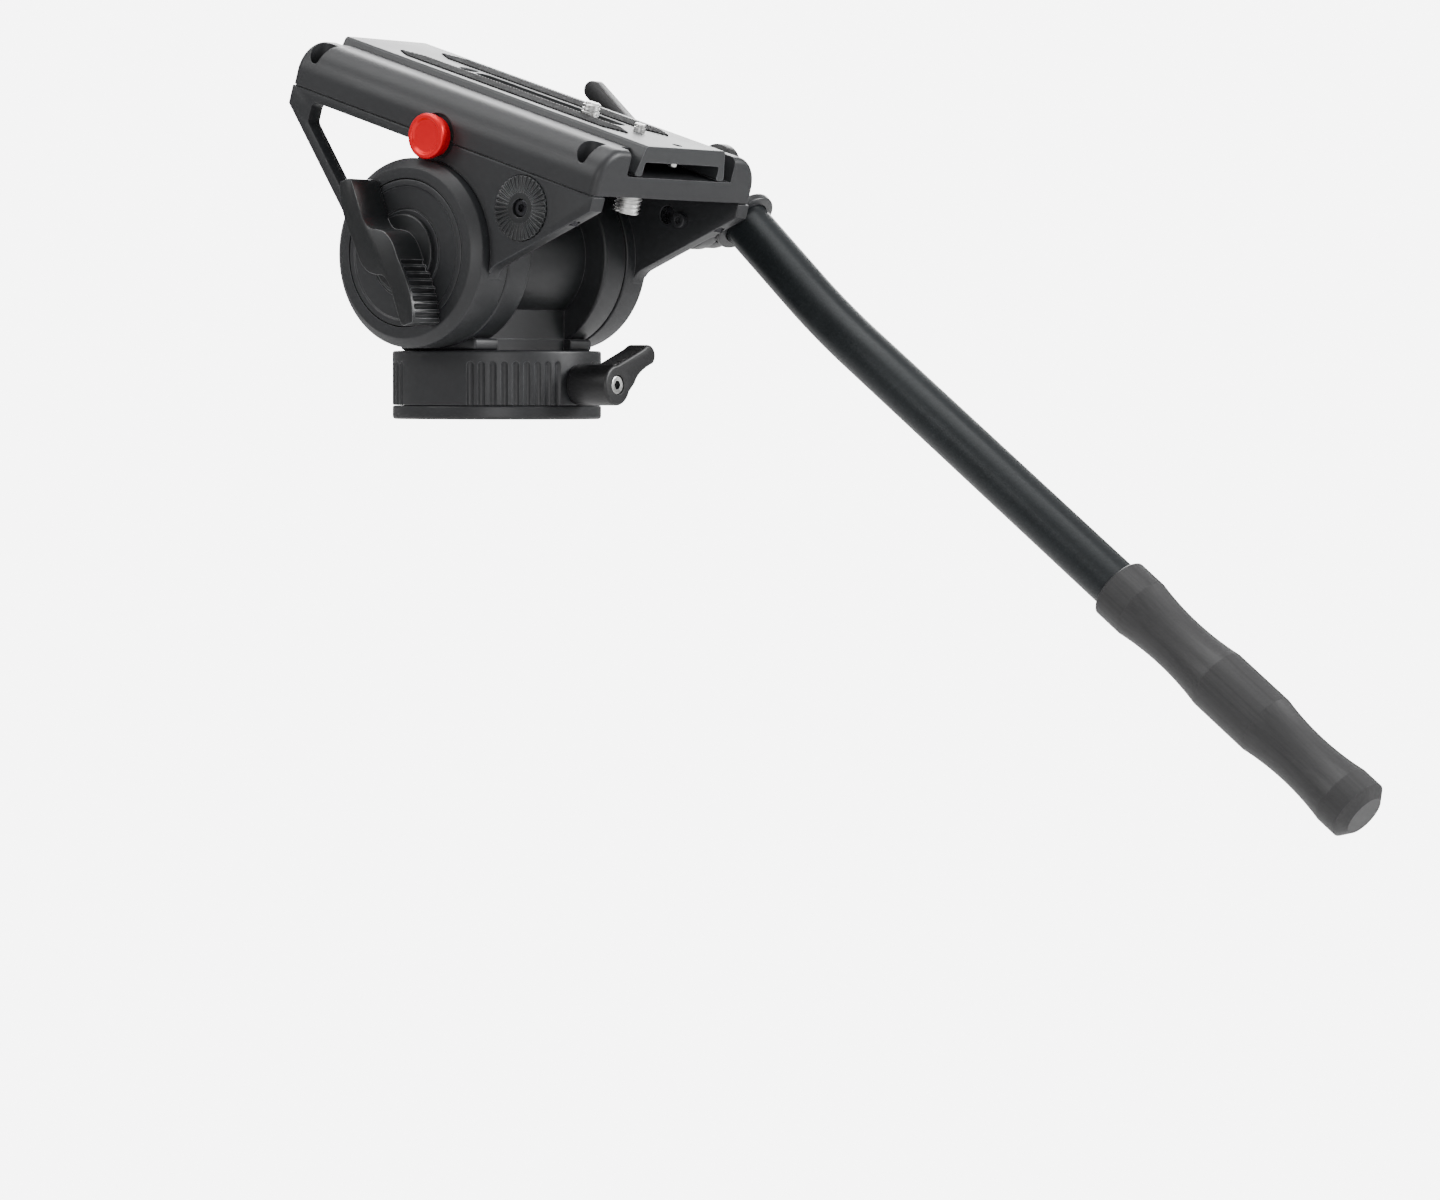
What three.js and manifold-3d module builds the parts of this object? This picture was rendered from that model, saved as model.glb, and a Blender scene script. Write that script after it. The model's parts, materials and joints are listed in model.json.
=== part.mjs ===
// Fluid video head: a pan and tilt camera support with a sliding plate and a pan handle.
// Millimetres. +Z is up, +Y is towards the lens and +X is to the operator's right.
// The origin is the centre of the face that seats on the tripod.

import * as THREE from 'three';
import { mergeVertices } from 'three/addons/utils/BufferGeometryUtils.js';
import Module from 'manifold-3d';

const wasm = await Module();
wasm.setup();

// Fits, overruns and facet counts that every piece shares
const fitGap = 0.3;
const cutOverrun = 2;
const weldTolerance = 0.0001;
const wideFacets = 36;
const roundFacets = 18;
const smallFacets = 10;
const curveFacets = 4;
const springSteps = 8;
const springSides = 5;

// Pose in which the head is held
const restTilt = THREE.MathUtils.degToRad(17.5);

// Stationary base
const baseRadius = 37.5;
const flangeHeight = 4.2;
const flangeEdgeRadius = 1.1;
const runningGap = 0.8;
const spindleRadius = 13;
const spindleShoulderHeight = 17.5;
const spindleNeckRadius = 9;
const bushRadius = 7;
const bushDepth = 12;
const tripodBoreRadius = 4.76;
const nutHeight = 2.9;
const nutRadius = 12.4;
const dragWasherHeight = 1.5;
const panDiscHeight = 1.4;
const panDiscInset = 7.6;

// Turning ring
const ringTop = 24.5;
const ringWall = 6.5;
const ringDeckHeight = 6.5;
const ringLedgeWidth = 4;
const ringLedgeHeight = 1.2;
const grooveTop = 20.9;
const grooveDepth = 0.75;
const groovePitch = THREE.MathUtils.degToRad(6.2);
const grooveHalfAngle = THREE.MathUtils.degToRad(2.05);
const groovesPerGroup = 9;
const grooveGroupAngle = THREE.MathUtils.degToRad(40);
const ringEdgeRadius = 0.8;
const nutRecessRadius = 13.2;
const nutRecessDepth = 3.5;

// Pan lock: stud through the ring wall, brake shoe and lever
const panLockHeight = 12.3;
const studRadius = 3.6;
const shoeHeight = 6;
const shoeWidth = 14;
const shoeThickness = 6;
const leverHubRadius = 7.3;
const leverHubLength = 17.8;
const leverArmDepth = 9.4;
const leverReach = 20.8;
const leverTipRadius = 3.9;
const leverRestAngle = THREE.MathUtils.degToRad(30.2);
const leverWaist = 3.4;
const lockScrewRadius = 3.25;
const lockScrewHeadHeight = 2.6;
const lockScrewShankRadius = 2;
const lockScrewLength = 9;

// Yoke
const tiltAxisHeight = 58.6;
const cheekInner = 21;
const cheekOuter = 33;
const cheekRadius = 33.3;
const footHalfDepth = 17.5;
const footHeight = 4.2;
const drumRadius = 24;
const pedestalHalfDepth = 14;
const springChamberRadius = 17;
const springChamberWall = 4;
const carrierThickness = 9;
const axleRadius = 6;
const axleBushRadius = 8.5;
const axleStudRadius = 4;
const springCoilRadius = 11.5;
const springWireRadius = 1.2;
const springTurns = 6;
const yokeScrewInset = 3.7;
const yokeScrewOffset = 10;
const yokeScrewRadius = 2;
const yokeScrewHeadRadius = 3.1;
const yokeScrewHeadHeight = 3;
const yokeScrewLength = 14;

// Side plates, one on each side of the yoke
const plateInner = 38;
const bossInner = 33.5;
const plateThickness = 6.5;
const frontReach = 74;
const rearReach = 71;
const seamHeight = 41.6;
const frontCornerDrop = 7.4;
const rearCornerDrop = 5.6;
const strutDrop = THREE.MathUtils.degToRad(39.3);
const rearDrop = THREE.MathUtils.degToRad(40.2);
const strutWidth = 3.8;
const stripHeight = 3.9;
const windowFront = 63.1;
const windowRear = 10;
const windowCorner = 2.4;
const bossRadius = 33.25;
const bossFaceLeft = 50.6;
const bossFaceRight = 47.5;
const bossChamferWidth = 3.7;
const bossChamferDepth = 2.6;
const bossFillet = 8;
const bossFloor = 3.4;
const drumCavityRadius = 24;
const coverRadius = 25.9;
const coverThickness = 3.6;
const dragDiscRadius = 22;
const dragDiscHeight = 2.4;

// Toothed rosettes that take the handle
const rosetteForward = -41.3;
const rosetteDrop = 13;
const rosetteRadius = 11.3;
const rosetteSeatDepth = 3;
const rosetteTeeth = 36;
const rosetteHubRadius = 6;
const rosetteTeethRadius = 6.9;
const toothHeight = 0.9;
const toothOuterHeight = 0.3;
const handleBoltRadius = 3;
const rosetteScrewRadius = 2.7;
const rosetteScrewHeadHeight = 2.2;
const rosetteScrewShankRadius = 1.4;
const rosetteScrewOffset = 6.9;

// Tilt lock knob: hub with an S-shaped wing
const knobHubRadius = 13.6;
const knobHubHeight = 4.4;
const wingFace = 66;
const wingFoot = 51.3;
const wingHalfLength = 29.8;
const wingHalfWidth = 8.1;
const wingAngle = THREE.MathUtils.degToRad(60.5);
const wingRibCount = 8;
const wingRibPitch = 2.75;
const wingRibFirst = 5.6;
const wingRibRadius = 0.85;
const wingRibEnd = 0.9;
const wingCurveSteps = 28;
const insertRadius = 6;
const insertLength = 9;

// Channel body
const bodyOverhang = 0.3;
const bodyHeight = 16.3;
const shoulderShare = 0.5;
const floorHeight = 7.3;
const bodyCornerRadius = 3;
const reliefLength = 6.2;
const reliefHalfWidth = 29.2;
const scoopRadius = 4.6;
const scoopFloorHeight = 5.2;
const frontScoopInset = 8.3;
const rearScoopInset = 8.6;
const bodyScrewRadius = 2;
const bodyScrewHeadRadius = 3.6;
const bodyScrewHeadHeight = 3.2;
const bodyScrewLength = 13;

// Clamp jaw and plate lever
const jawLength = 65;
const jawInset = 9;
const jawOuter = 29;
const jawTravel = 0.9;
const plateLeverInset = 19.5;
const plateLeverRiseAboveSeam = 9;
const plateLeverHubRadius = 7.5;
const plateLeverThickness = 5.1;
const plateLeverArm = 42.1;
const plateLeverArmHalfWidth = 3.7;
const plateLeverNeck = 12;
const plateLeverEnd = 23.4;
const plateLeverRise = THREE.MathUtils.degToRad(25.6);
const plateLeverTipRadius = 3.4;
const plateLeverBoltRadius = 3;
const plateLeverShankRadius = 1.5;

// Safety button
const buttonForward = 3.2;
const buttonRadius = 8;
const buttonProud = 5.95;
const buttonSkirtGap = 0.35;
const buttonDishDepth = 0.9;
const buttonRim = 1.2;
const buttonWall = 1.5;
const buttonTravel = 2.4;
const buttonStemRadius = 3;
const buttonStemEnd = 14;
const buttonSpringRadius = 4.6;
const buttonSpringWire = 0.5;
const buttonSpringTurns = 3;
const catchWidth = 4;
const catchHeight = 10.3;
const catchLength = 5;

// Camera plate
const cameraPlateProud = 2.3;
const cameraPlateFrontInset = 0.5;
const cameraPlateOverhang = 0.2;
const cameraPlateHalfWidth = 22.2;
const dovetailSpread = 3.4;
const cameraPlateThickness = 5.7;
const cameraPlateInnerHalf = 21.2;
const cameraPlateEdge = 0.7;
const slotFront = 24.5;
const slotRear = -38;
const slotHalfWidth = 3.5;
const slotRecessHalfWidth = 7.6;
const slotRecessDepth = 3;
const stripInner = 6.2;
const stripOuter = 16.8;
const stripFrontInset = 17.4;
const stripRearInset = 17.9;
const stripPoint = 8;
const stripSeatDepth = 0.8;
const stripProud = 0.5;
const plateHoleForward = 32.6;
const plateHoleRadius = 3.3;
const stopScrewRadius = 1.5;
const stopScrewFrontInset = 7.3;
const stopScrewRearInset = 9.2;
const stopScrewAcross = -17.4;
const stopScrewDrop = 3.4;

// Camera screw and video pin
const cameraScrewForward = -26;
const cameraScrewRadius = 3.17;
const cameraScrewHeadRadius = 6.9;
const cameraScrewHeadHeight = 3;
const cameraScrewProud = 4.2;
const screwSlotWidth = 1.2;
const screwSlotDepth = 1.3;
const washerHeight = 0.7;
const videoPinForward = -49;
const videoPinRadius = 2;
const videoPinProud = 2.8;
const videoPinFlangeRadius = 3.2;
const videoPinFlangeHeight = 0.9;

// Spare tripod screw kept under the body
const spareScrewAcross = -12.5;
const spareScrewInset = 9.7;
const spareScrewRadius = 4.76;
const spareScrewDrop = 7.6;
const spareScrewDepth = 5;
const spareThreadPitch = 1.6;
const spareThreadDepth = 0.7;

// Pan handle
const handlePlane = 61;
const handleDrop = THREE.MathUtils.degToRad(25.4);
const handleBend = THREE.MathUtils.degToRad(-5.75);
const tubeOffset = 10.4;
const tubeRadius = 8.7;
const tubeWall = 1.5;
const tubeStart = 13.2;
const bendReach = 66.8;
const bendSoftness = 16;
const lowerReach = 153.2;
const bracketHubRadius = 12;
const bracketHubEnd = 57.4;
const bracketArmInner = 50.7;
const sleeveRadius = 12.8;
const sleeveStart = 12;
const sleeveEnd = 16.8;
const sleeveScrewRadius = 1.7;
const spigotEnd = 30;
const handleKnobRadius = 11.4;
const handleKnobHeight = 9;
const handleKnobLobes = 6;
const handleKnobScallop = 3.4;
const gripLength = 118.5;
const gripRadius = 11.1;
const gripEndWall = 3;

// Heights and faces that follow from the sizes above
const ringBottom = flangeHeight + runningGap;
const ringInner = baseRadius - ringWall;
const deckBottom = ringTop - ringDeckHeight;
const ledgeBottom = flangeHeight + fitGap + dragWasherHeight + fitGap;
const yokeScrewCircle = ringInner - yokeScrewInset;
const panDiscRadius = ringInner - panDiscInset;
const frontCornerHeight = seamHeight - frontCornerDrop;
const rearCornerHeight = seamHeight - rearCornerDrop;
const rosetteHeight = seamHeight - rosetteDrop;
const bodyFront = frontReach + bodyOverhang;
const bodyTop = seamHeight + bodyHeight;
const frontScoop = bodyFront - frontScoopInset;
const rearScoop = rearScoopInset - rearReach;
const jawRear = jawInset - rearReach;
const plateLeverForward = plateLeverInset - rearReach;
const plateLeverHeight = seamHeight + plateLeverRiseAboveSeam;
const buttonHeight = seamHeight;
const cameraPlateTop = bodyTop + cameraPlateProud;
const cameraPlateFront = bodyFront - cameraPlateFrontInset;
const cameraPlateRear = -rearReach - cameraPlateOverhang;
const stripFront = cameraPlateFront - stripFrontInset;
const stripRear = cameraPlateRear + stripRearInset;
const stopScrewFront = cameraPlateFront - stopScrewFrontInset;
const stopScrewRear = cameraPlateRear + stopScrewRearInset;
const spareScrewForward = spareScrewInset - rearReach;
const plateOuter = plateInner + plateThickness;
const bodyHalfWidth = plateOuter + bodyOverhang;
const shoulderRadius = shoulderShare * (bodyHalfWidth - cameraPlateHalfWidth);
const buttonFace = bodyHalfWidth + buttonProud;
const buttonSkirt = bodyHalfWidth + buttonSkirtGap;
const floorTop = seamHeight + floorHeight;
const legBottom = floorTop + 2 * fitGap;
const footBottom = ringTop - tiltAxisHeight + fitGap;
const footTop = ringTop - tiltAxisHeight + footHeight + fitGap;
const boreClear = axleRadius + fitGap;
const plateLeverInner = bodyHalfWidth + fitGap;
const hubThickness = rosetteSeatDepth + fitGap;
const leverFace = -(baseRadius + fitGap + leverHubLength);

const finishes = {
  housing: { color: 0x43464a, roughness: 0.5, metalness: 0.55 },
  cover: { color: 0x34373a, roughness: 0.45, metalness: 0.5 },
  lever: { color: 0x1b1c1e, roughness: 0.4, metalness: 0.1 },
  steel: { color: 0xc9ccd0, roughness: 0.28, metalness: 1 },
  darkSteel: { color: 0x2a2c2f, roughness: 0.35, metalness: 0.9 },
  brass: { color: 0xb08d4a, roughness: 0.35, metalness: 1 },
  nylon: { color: 0xd8d5cc, roughness: 0.6, metalness: 0 },
  tube: { color: 0x2b3134, roughness: 0.42, metalness: 0.6 },
  grip: { color: 0x3a3b3d, roughness: 0.85, metalness: 0 },
  rubber: { color: 0x232425, roughness: 0.9, metalness: 0 },
  button: { color: 0xd81c1c, roughness: 0.32, metalness: 0.15 },
};

// Makes a solid from a closed geometry, with its faces turned outwards
function solid(geometry) {
  const bare = geometry.clone();
  bare.deleteAttribute('normal');
  bare.deleteAttribute('uv');
  const merged = mergeVertices(bare, weldTolerance);
  const points = merged.attributes.position.array;
  const corners = merged.index.array;
  const kept = [];
  const corner = (index) => new THREE.Vector3().fromArray(points, index * 3);
  let sixVolumes = 0;
  for (let start = 0; start < corners.length; start += 3) {
    const [a, b, c] = corners.slice(start, start + 3);
    if (a !== b && b !== c && c !== a) {
      kept.push([a, b, c]);
      sixVolumes += corner(a).dot(corner(b).cross(corner(c)));
    }
  }
  const triangles = sixVolumes < 0 ? kept.map(([a, b, c]) => [a, c, b]) : kept;
  return new wasm.Manifold(new wasm.Mesh({
    numProp: 3,
    vertProperties: Float32Array.from(points),
    triVerts: Uint32Array.from(triangles.flat()),
  }));
}

function joined(first, ...others) {
  return others.reduce((sum, other) => sum.add(other), first);
}

function cut(body, ...tools) {
  return tools.reduce((rest, tool) => rest.subtract(tool), body);
}

// Turns a piece's long axis from Z to X, so that an outline drawn in (y, z) is extruded across
function alongX(geometry) {
  const turn = new THREE.Matrix4().makeBasis(
    new THREE.Vector3(0, 1, 0),
    new THREE.Vector3(0, 0, 1),
    new THREE.Vector3(1, 0, 0),
  );
  return geometry.applyMatrix4(turn);
}

// Turns a piece's long axis from Z to -Y, so that an outline drawn in (x, z) runs rearwards
function alongRear(geometry) {
  const turn = new THREE.Matrix4().makeBasis(
    new THREE.Vector3(1, 0, 0),
    new THREE.Vector3(0, 0, 1),
    new THREE.Vector3(0, -1, 0),
  );
  return geometry.applyMatrix4(turn);
}

// A profile of [radius, height] points, closed on itself or on the axis, spun round Z
function turned(profile, facets) {
  const points = profile.map(([radius, height]) => new THREE.Vector2(radius, height));
  const onAxis = profile[0][0] === 0 && profile[profile.length - 1][0] === 0;
  if (!onAxis) {
    points.push(points[0].clone());
  }
  return new THREE.LatheGeometry(points, facets).rotateX(Math.PI / 2);
}

function rod(radius, from, to, facets = smallFacets) {
  return turned([[0, from], [radius, from], [radius, to], [0, to]], facets);
}

function tubePiece(outer, inner, from, to, facets = roundFacets) {
  return turned([[inner, from], [outer, from], [outer, to], [inner, to]], facets);
}

function block(x0, x1, y0, y1, z0, z1) {
  const box = new THREE.BoxGeometry(x1 - x0, y1 - y0, z1 - z0);
  return box.translate((x0 + x1) / 2, (y0 + y1) / 2, (z0 + z1) / 2);
}

function prism(shape, depth, curveSegments = curveFacets) {
  return new THREE.ExtrudeGeometry(shape, { depth, bevelEnabled: false, curveSegments });
}

function polygon(points) {
  return new THREE.Shape(points.map(([x, y]) => new THREE.Vector2(x, y)));
}

// Adds an arc of round points to an outline
function arcPoints(centreX, centreY, radius, from, to, steps) {
  const points = [];
  for (let step = 0; step <= steps; step += 1) {
    const angle = from + (to - from) * step / steps;
    points.push([centreX + radius * Math.cos(angle), centreY + radius * Math.sin(angle)]);
  }
  return points;
}

// A closed outline whose corners are all rounded
function roundedPolygon(corners, radius) {
  const shape = new THREE.Shape();
  corners.forEach(([x, y], index) => {
    const corner = new THREE.Vector2(x, y);
    const before = new THREE.Vector2(...corners[(index + corners.length - 1) % corners.length]);
    const after = new THREE.Vector2(...corners[(index + 1) % corners.length]);
    const toBefore = before.sub(corner).normalize();
    const toAfter = after.sub(corner).normalize();
    const halfAngle = Math.acos(toBefore.dot(toAfter)) / 2;
    const reach = radius / Math.tan(halfAngle);
    const start = corner.clone().addScaledVector(toBefore, reach);
    const end = corner.clone().addScaledVector(toAfter, reach);
    if (index === 0) {
      shape.moveTo(start.x, start.y);
    } else {
      shape.lineTo(start.x, start.y);
    }
    shape.quadraticCurveTo(corner.x, corner.y, end.x, end.y);
  });
  shape.closePath();
  return shape;
}

// A rounded bar whose two ends are arcs
function slotShape(fromX, toX, halfWidth) {
  const quarter = Math.PI / 2;
  return polygon([
    ...arcPoints(toX - halfWidth, 0, halfWidth, -quarter, quarter, 2 * curveFacets),
    ...arcPoints(fromX + halfWidth, 0, halfWidth, quarter, quarter + Math.PI, 2 * curveFacets),
  ]);
}

function hexagon(radius) {
  return polygon(arcPoints(0, 0, radius, 0, Math.PI * 5 / 3, 5));
}

// A screw that points along -Z, with its head's top at zero and a hexagonal socket
function socketScrew(headRadius, headHeight, shankRadius, length) {
  const body = turned([
    [0, 0], [headRadius, 0], [headRadius, -headHeight], [shankRadius, -headHeight],
    [shankRadius, -length], [0, -length],
  ], smallFacets);
  const socket = prism(hexagon(headRadius / 2), headHeight).translate(0, 0, -headHeight / 2);
  return cut(solid(body), solid(socket));
}

// A coil spring: one unbroken tube whose turns climb at a steady rate along Z
function coil(radius, wire, turns, height) {
  const centre = (angle) => new THREE.Vector3(
    radius * Math.cos(angle),
    radius * Math.sin(angle),
    wire + (height - 2 * wire) * angle / (2 * Math.PI * turns),
  );
  const steps = turns * springSteps;
  const positions = [];
  for (let step = 0; step <= steps; step += 1) {
    const angle = 2 * Math.PI * turns * step / steps;
    const middle = centre(angle);
    const outward = new THREE.Vector3(Math.cos(angle), Math.sin(angle), 0);
    for (let side = 0; side < springSides; side += 1) {
      const turn = 2 * Math.PI * side / springSides;
      const point = middle.clone().addScaledVector(outward, wire * Math.cos(turn));
      positions.push(point.x, point.y, point.z + wire * Math.sin(turn));
    }
  }
  return sweptSkin(positions, steps + 1, springSides);
}

// Skin over a row of rings with the same number of points, closed at both ends
function sweptSkin(positions, ringCount, sides) {
  const indices = [];
  for (let ring = 0; ring < ringCount - 1; ring += 1) {
    for (let side = 0; side < sides; side += 1) {
      const next = (side + 1) % sides;
      const near = ring * sides;
      const far = near + sides;
      indices.push(near + side, near + next, far + next, near + side, far + next, far + side);
    }
  }
  for (let side = 1; side < sides - 1; side += 1) {
    const last = (ringCount - 1) * sides;
    indices.push(0, side + 1, side, last, last + side, last + side + 1);
  }
  const geometry = new THREE.BufferGeometry();
  geometry.setAttribute('position', new THREE.Float32BufferAttribute(positions, 3));
  geometry.setIndex(indices);
  return geometry;
}

// Puts a finished solid in a named mesh
function piece(name, body, finish) {
  const { vertProperties, triVerts } = body.getMesh();
  const geometry = new THREE.BufferGeometry();
  geometry.setAttribute('position', new THREE.BufferAttribute(new Float32Array(vertProperties), 3));
  geometry.setIndex(new THREE.BufferAttribute(new Uint32Array(triVerts), 1));
  geometry.computeVertexNormals();
  const mesh = new THREE.Mesh(geometry, new THREE.MeshStandardMaterial(finishes[finish]));
  mesh.name = name;
  return mesh;
}

function placed(mesh, x, y, z) {
  mesh.position.set(x, y, z);
  return mesh;
}

// Base flange with the spindle that everything above turns on
function baseFlange() {
  const edge = flangeEdgeRadius;
  const right = Math.PI / 2;
  const flange = turned([
    [0, 0],
    ...arcPoints(baseRadius - edge, edge, edge, -right, 0, curveFacets),
    [baseRadius, flangeHeight - edge / 2], [baseRadius - edge / 2, flangeHeight], [0, flangeHeight],
  ], wideFacets);
  const spindle = turned([
    [0, 0], [spindleRadius, 0], [spindleRadius, spindleShoulderHeight],
    [spindleNeckRadius, spindleShoulderHeight], [spindleNeckRadius, ringTop - fitGap],
    [0, ringTop - fitGap],
  ], roundFacets);
  const bore = turned([
    [0, -cutOverrun], [bushRadius + fitGap, -cutOverrun], [bushRadius + fitGap, bushDepth + fitGap],
    [spindleNeckRadius / 2, bushDepth + fitGap], [spindleNeckRadius / 2, ringTop + cutOverrun],
    [0, ringTop + cutOverrun],
  ], roundFacets);
  return piece('base_flange', cut(joined(solid(flange), solid(spindle)), solid(bore)), 'housing');
}

function tripodThreadBush() {
  const body = tubePiece(bushRadius, tripodBoreRadius, fitGap, bushDepth, roundFacets);
  return piece('tripod_thread_bush', solid(body), 'brass');
}

function panRetainingNut() {
  const bottom = ringTop - fitGap - nutHeight;
  const ring = tubePiece(nutRadius, spindleNeckRadius + fitGap, bottom, ringTop - fitGap);
  const slotWidth = nutRadius / 4;
  const notch = block(
    -nutRadius - cutOverrun, nutRadius + cutOverrun, -slotWidth / 2, slotWidth / 2,
    ringTop - fitGap - nutHeight / 2, ringTop + cutOverrun,
  );
  const spindleCore = rod(spindleNeckRadius + fitGap + slotWidth / 2, bottom, ringTop + cutOverrun);
  const notches = cut(solid(notch), solid(spindleCore));
  return piece('pan_retaining_nut', cut(solid(ring), notches), 'darkSteel');
}

function panThrustWasher() {
  const bottom = flangeHeight + fitGap;
  const ring = tubePiece(
    ringInner - ringLedgeWidth / 4, spindleRadius + fitGap, bottom, bottom + dragWasherHeight,
  );
  return piece('pan_thrust_washer', solid(ring), 'nylon');
}

function panDragDisc() {
  const top = deckBottom - fitGap;
  const disc = tubePiece(panDiscRadius, spindleRadius + fitGap, top - panDiscHeight, top);
  return piece('pan_drag_disc', solid(disc), 'darkSteel');
}

// Ribbed turning ring: a deep cup with four groups of upright grooves round its wall
function panRing() {
  const outline = [];
  const groups = [
    grooveGroupAngle, Math.PI - grooveGroupAngle,
    Math.PI + grooveGroupAngle, 2 * Math.PI - grooveGroupAngle,
  ];
  const fromForward = groups.map((angle) => angle + Math.PI / 2).sort((a, b) => a - b);
  fromForward.forEach((centre, index) => {
    const first = centre - groovePitch * (groovesPerGroup - 1) / 2;
    for (let groove = 0; groove < groovesPerGroup; groove += 1) {
      const middle = first + groove * groovePitch;
      [[-1, 0], [0, 1], [1, 0]].forEach(([share, depthShare]) => {
        const angle = middle + share * grooveHalfAngle;
        const radius = baseRadius - depthShare * grooveDepth;
        outline.push([radius * Math.cos(angle), radius * Math.sin(angle)]);
      });
    }
    const last = first + (groovesPerGroup - 1) * groovePitch + grooveHalfAngle;
    const nextCentre = fromForward[(index + 1) % fromForward.length];
    const nextFirst = nextCentre - groovePitch * (groovesPerGroup - 1) / 2 - grooveHalfAngle;
    const span = (nextFirst - last + 2 * Math.PI) % (2 * Math.PI);
    const smooth = arcPoints(0, 0, baseRadius, last, last + span, curveFacets);
    outline.push(...smooth.slice(1, -1));
  });
  const wall = prism(polygon(outline), grooveTop - ringBottom).translate(0, 0, ringBottom);
  const edge = ringEdgeRadius;
  const lip = turned([
    [0, grooveTop - fitGap], [baseRadius - grooveDepth, grooveTop - fitGap],
    [baseRadius, grooveTop], [baseRadius, ringTop - edge],
    [baseRadius - edge, ringTop], [0, ringTop],
  ], wideFacets);
  const hollow = turned([
    [0, ringBottom - cutOverrun], [ringInner, ringBottom - cutOverrun], [ringInner, ledgeBottom],
    [ringInner - ringLedgeWidth, ledgeBottom],
    [ringInner - ringLedgeWidth, ledgeBottom + ringLedgeHeight],
    [ringInner, ledgeBottom + ringLedgeHeight], [ringInner, deckBottom],
    [spindleNeckRadius + fitGap, deckBottom],
    [spindleNeckRadius + fitGap, ringTop - nutRecessDepth],
    [nutRecessRadius, ringTop - nutRecessDepth], [nutRecessRadius, ringTop + cutOverrun],
    [0, ringTop + cutOverrun],
  ], roundFacets);
  const studHole = alongRear(rod(studRadius + fitGap, spindleRadius, baseRadius + cutOverrun));
  studHole.translate(0, 0, panLockHeight);
  const screwHoles = yokeScrewPlaces().map(([x, y]) => solid(
    rod(yokeScrewRadius + fitGap, deckBottom - cutOverrun, ringTop + cutOverrun).translate(x, y, 0),
  ));
  const body = cut(joined(solid(wall), solid(lip)), solid(hollow), solid(studHole), ...screwHoles);
  return piece('pan_ring', body, 'housing');
}

function yokeScrewPlaces() {
  const across = Math.sqrt(yokeScrewCircle ** 2 - yokeScrewOffset ** 2);
  return [
    [-across, -yokeScrewOffset], [across, -yokeScrewOffset],
    [-across, yokeScrewOffset], [across, yokeScrewOffset],
  ];
}

function yokeScrews() {
  const names = ['rear_left', 'rear_right', 'front_left', 'front_right'];
  return yokeScrewPlaces().map(([x, y], index) => {
    const body = socketScrew(yokeScrewHeadRadius, yokeScrewHeadHeight, yokeScrewRadius, yokeScrewLength);
    const mesh = piece(`yoke_screw_${names[index]}`, body, 'steel');
    mesh.rotation.x = Math.PI;
    return placed(mesh, x, y, deckBottom - fitGap - yokeScrewHeadHeight);
  });
}

function panBrakeShoe() {
  const inner = spindleRadius + fitGap;
  const shoe = block(
    -shoeWidth / 2, shoeWidth / 2, -inner - shoeThickness, 0,
    panLockHeight - shoeHeight / 2, panLockHeight + shoeHeight / 2,
  );
  const spindle = rod(inner, 0, ringTop, roundFacets);
  const keep = block(
    -shoeWidth, shoeWidth, -inner - shoeThickness - cutOverrun, -inner / 2, 0, ringTop,
  );
  const body = cut(solid(shoe), solid(spindle)).intersect(solid(keep));
  return piece('pan_brake_shoe', body, 'brass');
}

// Pan lock lever: round hub with a tapering thumb arm, on a stud that bears on the shoe
function panLockLever() {
  const hub = alongRear(turned([
    [0, baseRadius + fitGap], [leverHubRadius - ringEdgeRadius, baseRadius + fitGap],
    [leverHubRadius, baseRadius + fitGap + ringEdgeRadius],
    [leverHubRadius, -leverFace - ringEdgeRadius],
    [leverHubRadius - ringEdgeRadius, -leverFace], [0, -leverFace],
  ], roundFacets));
  const shape = new THREE.Shape();
  const hubStart = THREE.MathUtils.degToRad(100);
  shape.moveTo(leverHubRadius * Math.cos(hubStart), leverHubRadius * Math.sin(hubStart));
  shape.lineTo(leverReach - leverTipRadius / 2, leverTipRadius);
  shape.absarc(leverReach, 0, leverTipRadius, Math.PI / 2, -Math.PI * 0.42, true);
  shape.quadraticCurveTo(
    leverReach * 0.62, -leverWaist * 0.55,
    leverReach * 0.44, -leverWaist * 1.35,
  );
  shape.lineTo(leverHubRadius * 0.6, -leverHubRadius * 0.8);
  shape.lineTo(-leverHubRadius * 0.5, 0);
  const arm = alongRear(prism(shape, leverArmDepth)).translate(0, leverFace + leverArmDepth, 0);
  arm.rotateY(-leverRestAngle);
  const studBore = alongRear(rod(studRadius + fitGap, baseRadius - cutOverrun, studEnd() + fitGap));
  const headBore = alongRear(rod(
    lockScrewRadius + fitGap, -leverFace - lockScrewHeadHeight - fitGap, -leverFace + cutOverrun,
  ));
  const shankBore = alongRear(rod(lockScrewShankRadius + fitGap, baseRadius, -leverFace));
  const body = cut(
    joined(solid(hub), solid(arm)), solid(studBore), solid(headBore), solid(shankBore),
  );
  return placed(piece('pan_lock_lever', body, 'lever'), 0, 0, panLockHeight);
}

function studEnd() {
  return -leverFace - lockScrewHeadHeight - lockScrewHeadHeight;
}

function panLockStud() {
  const start = spindleRadius + fitGap + shoeThickness + fitGap;
  const shaft = alongRear(rod(studRadius, start, studEnd()));
  const tapped = alongRear(rod(
    lockScrewShankRadius + fitGap, studEnd() - lockScrewLength, studEnd() + cutOverrun,
  ));
  const body = cut(solid(shaft), solid(tapped));
  return placed(piece('pan_lock_stud', body, 'steel'), 0, 0, panLockHeight);
}

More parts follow.
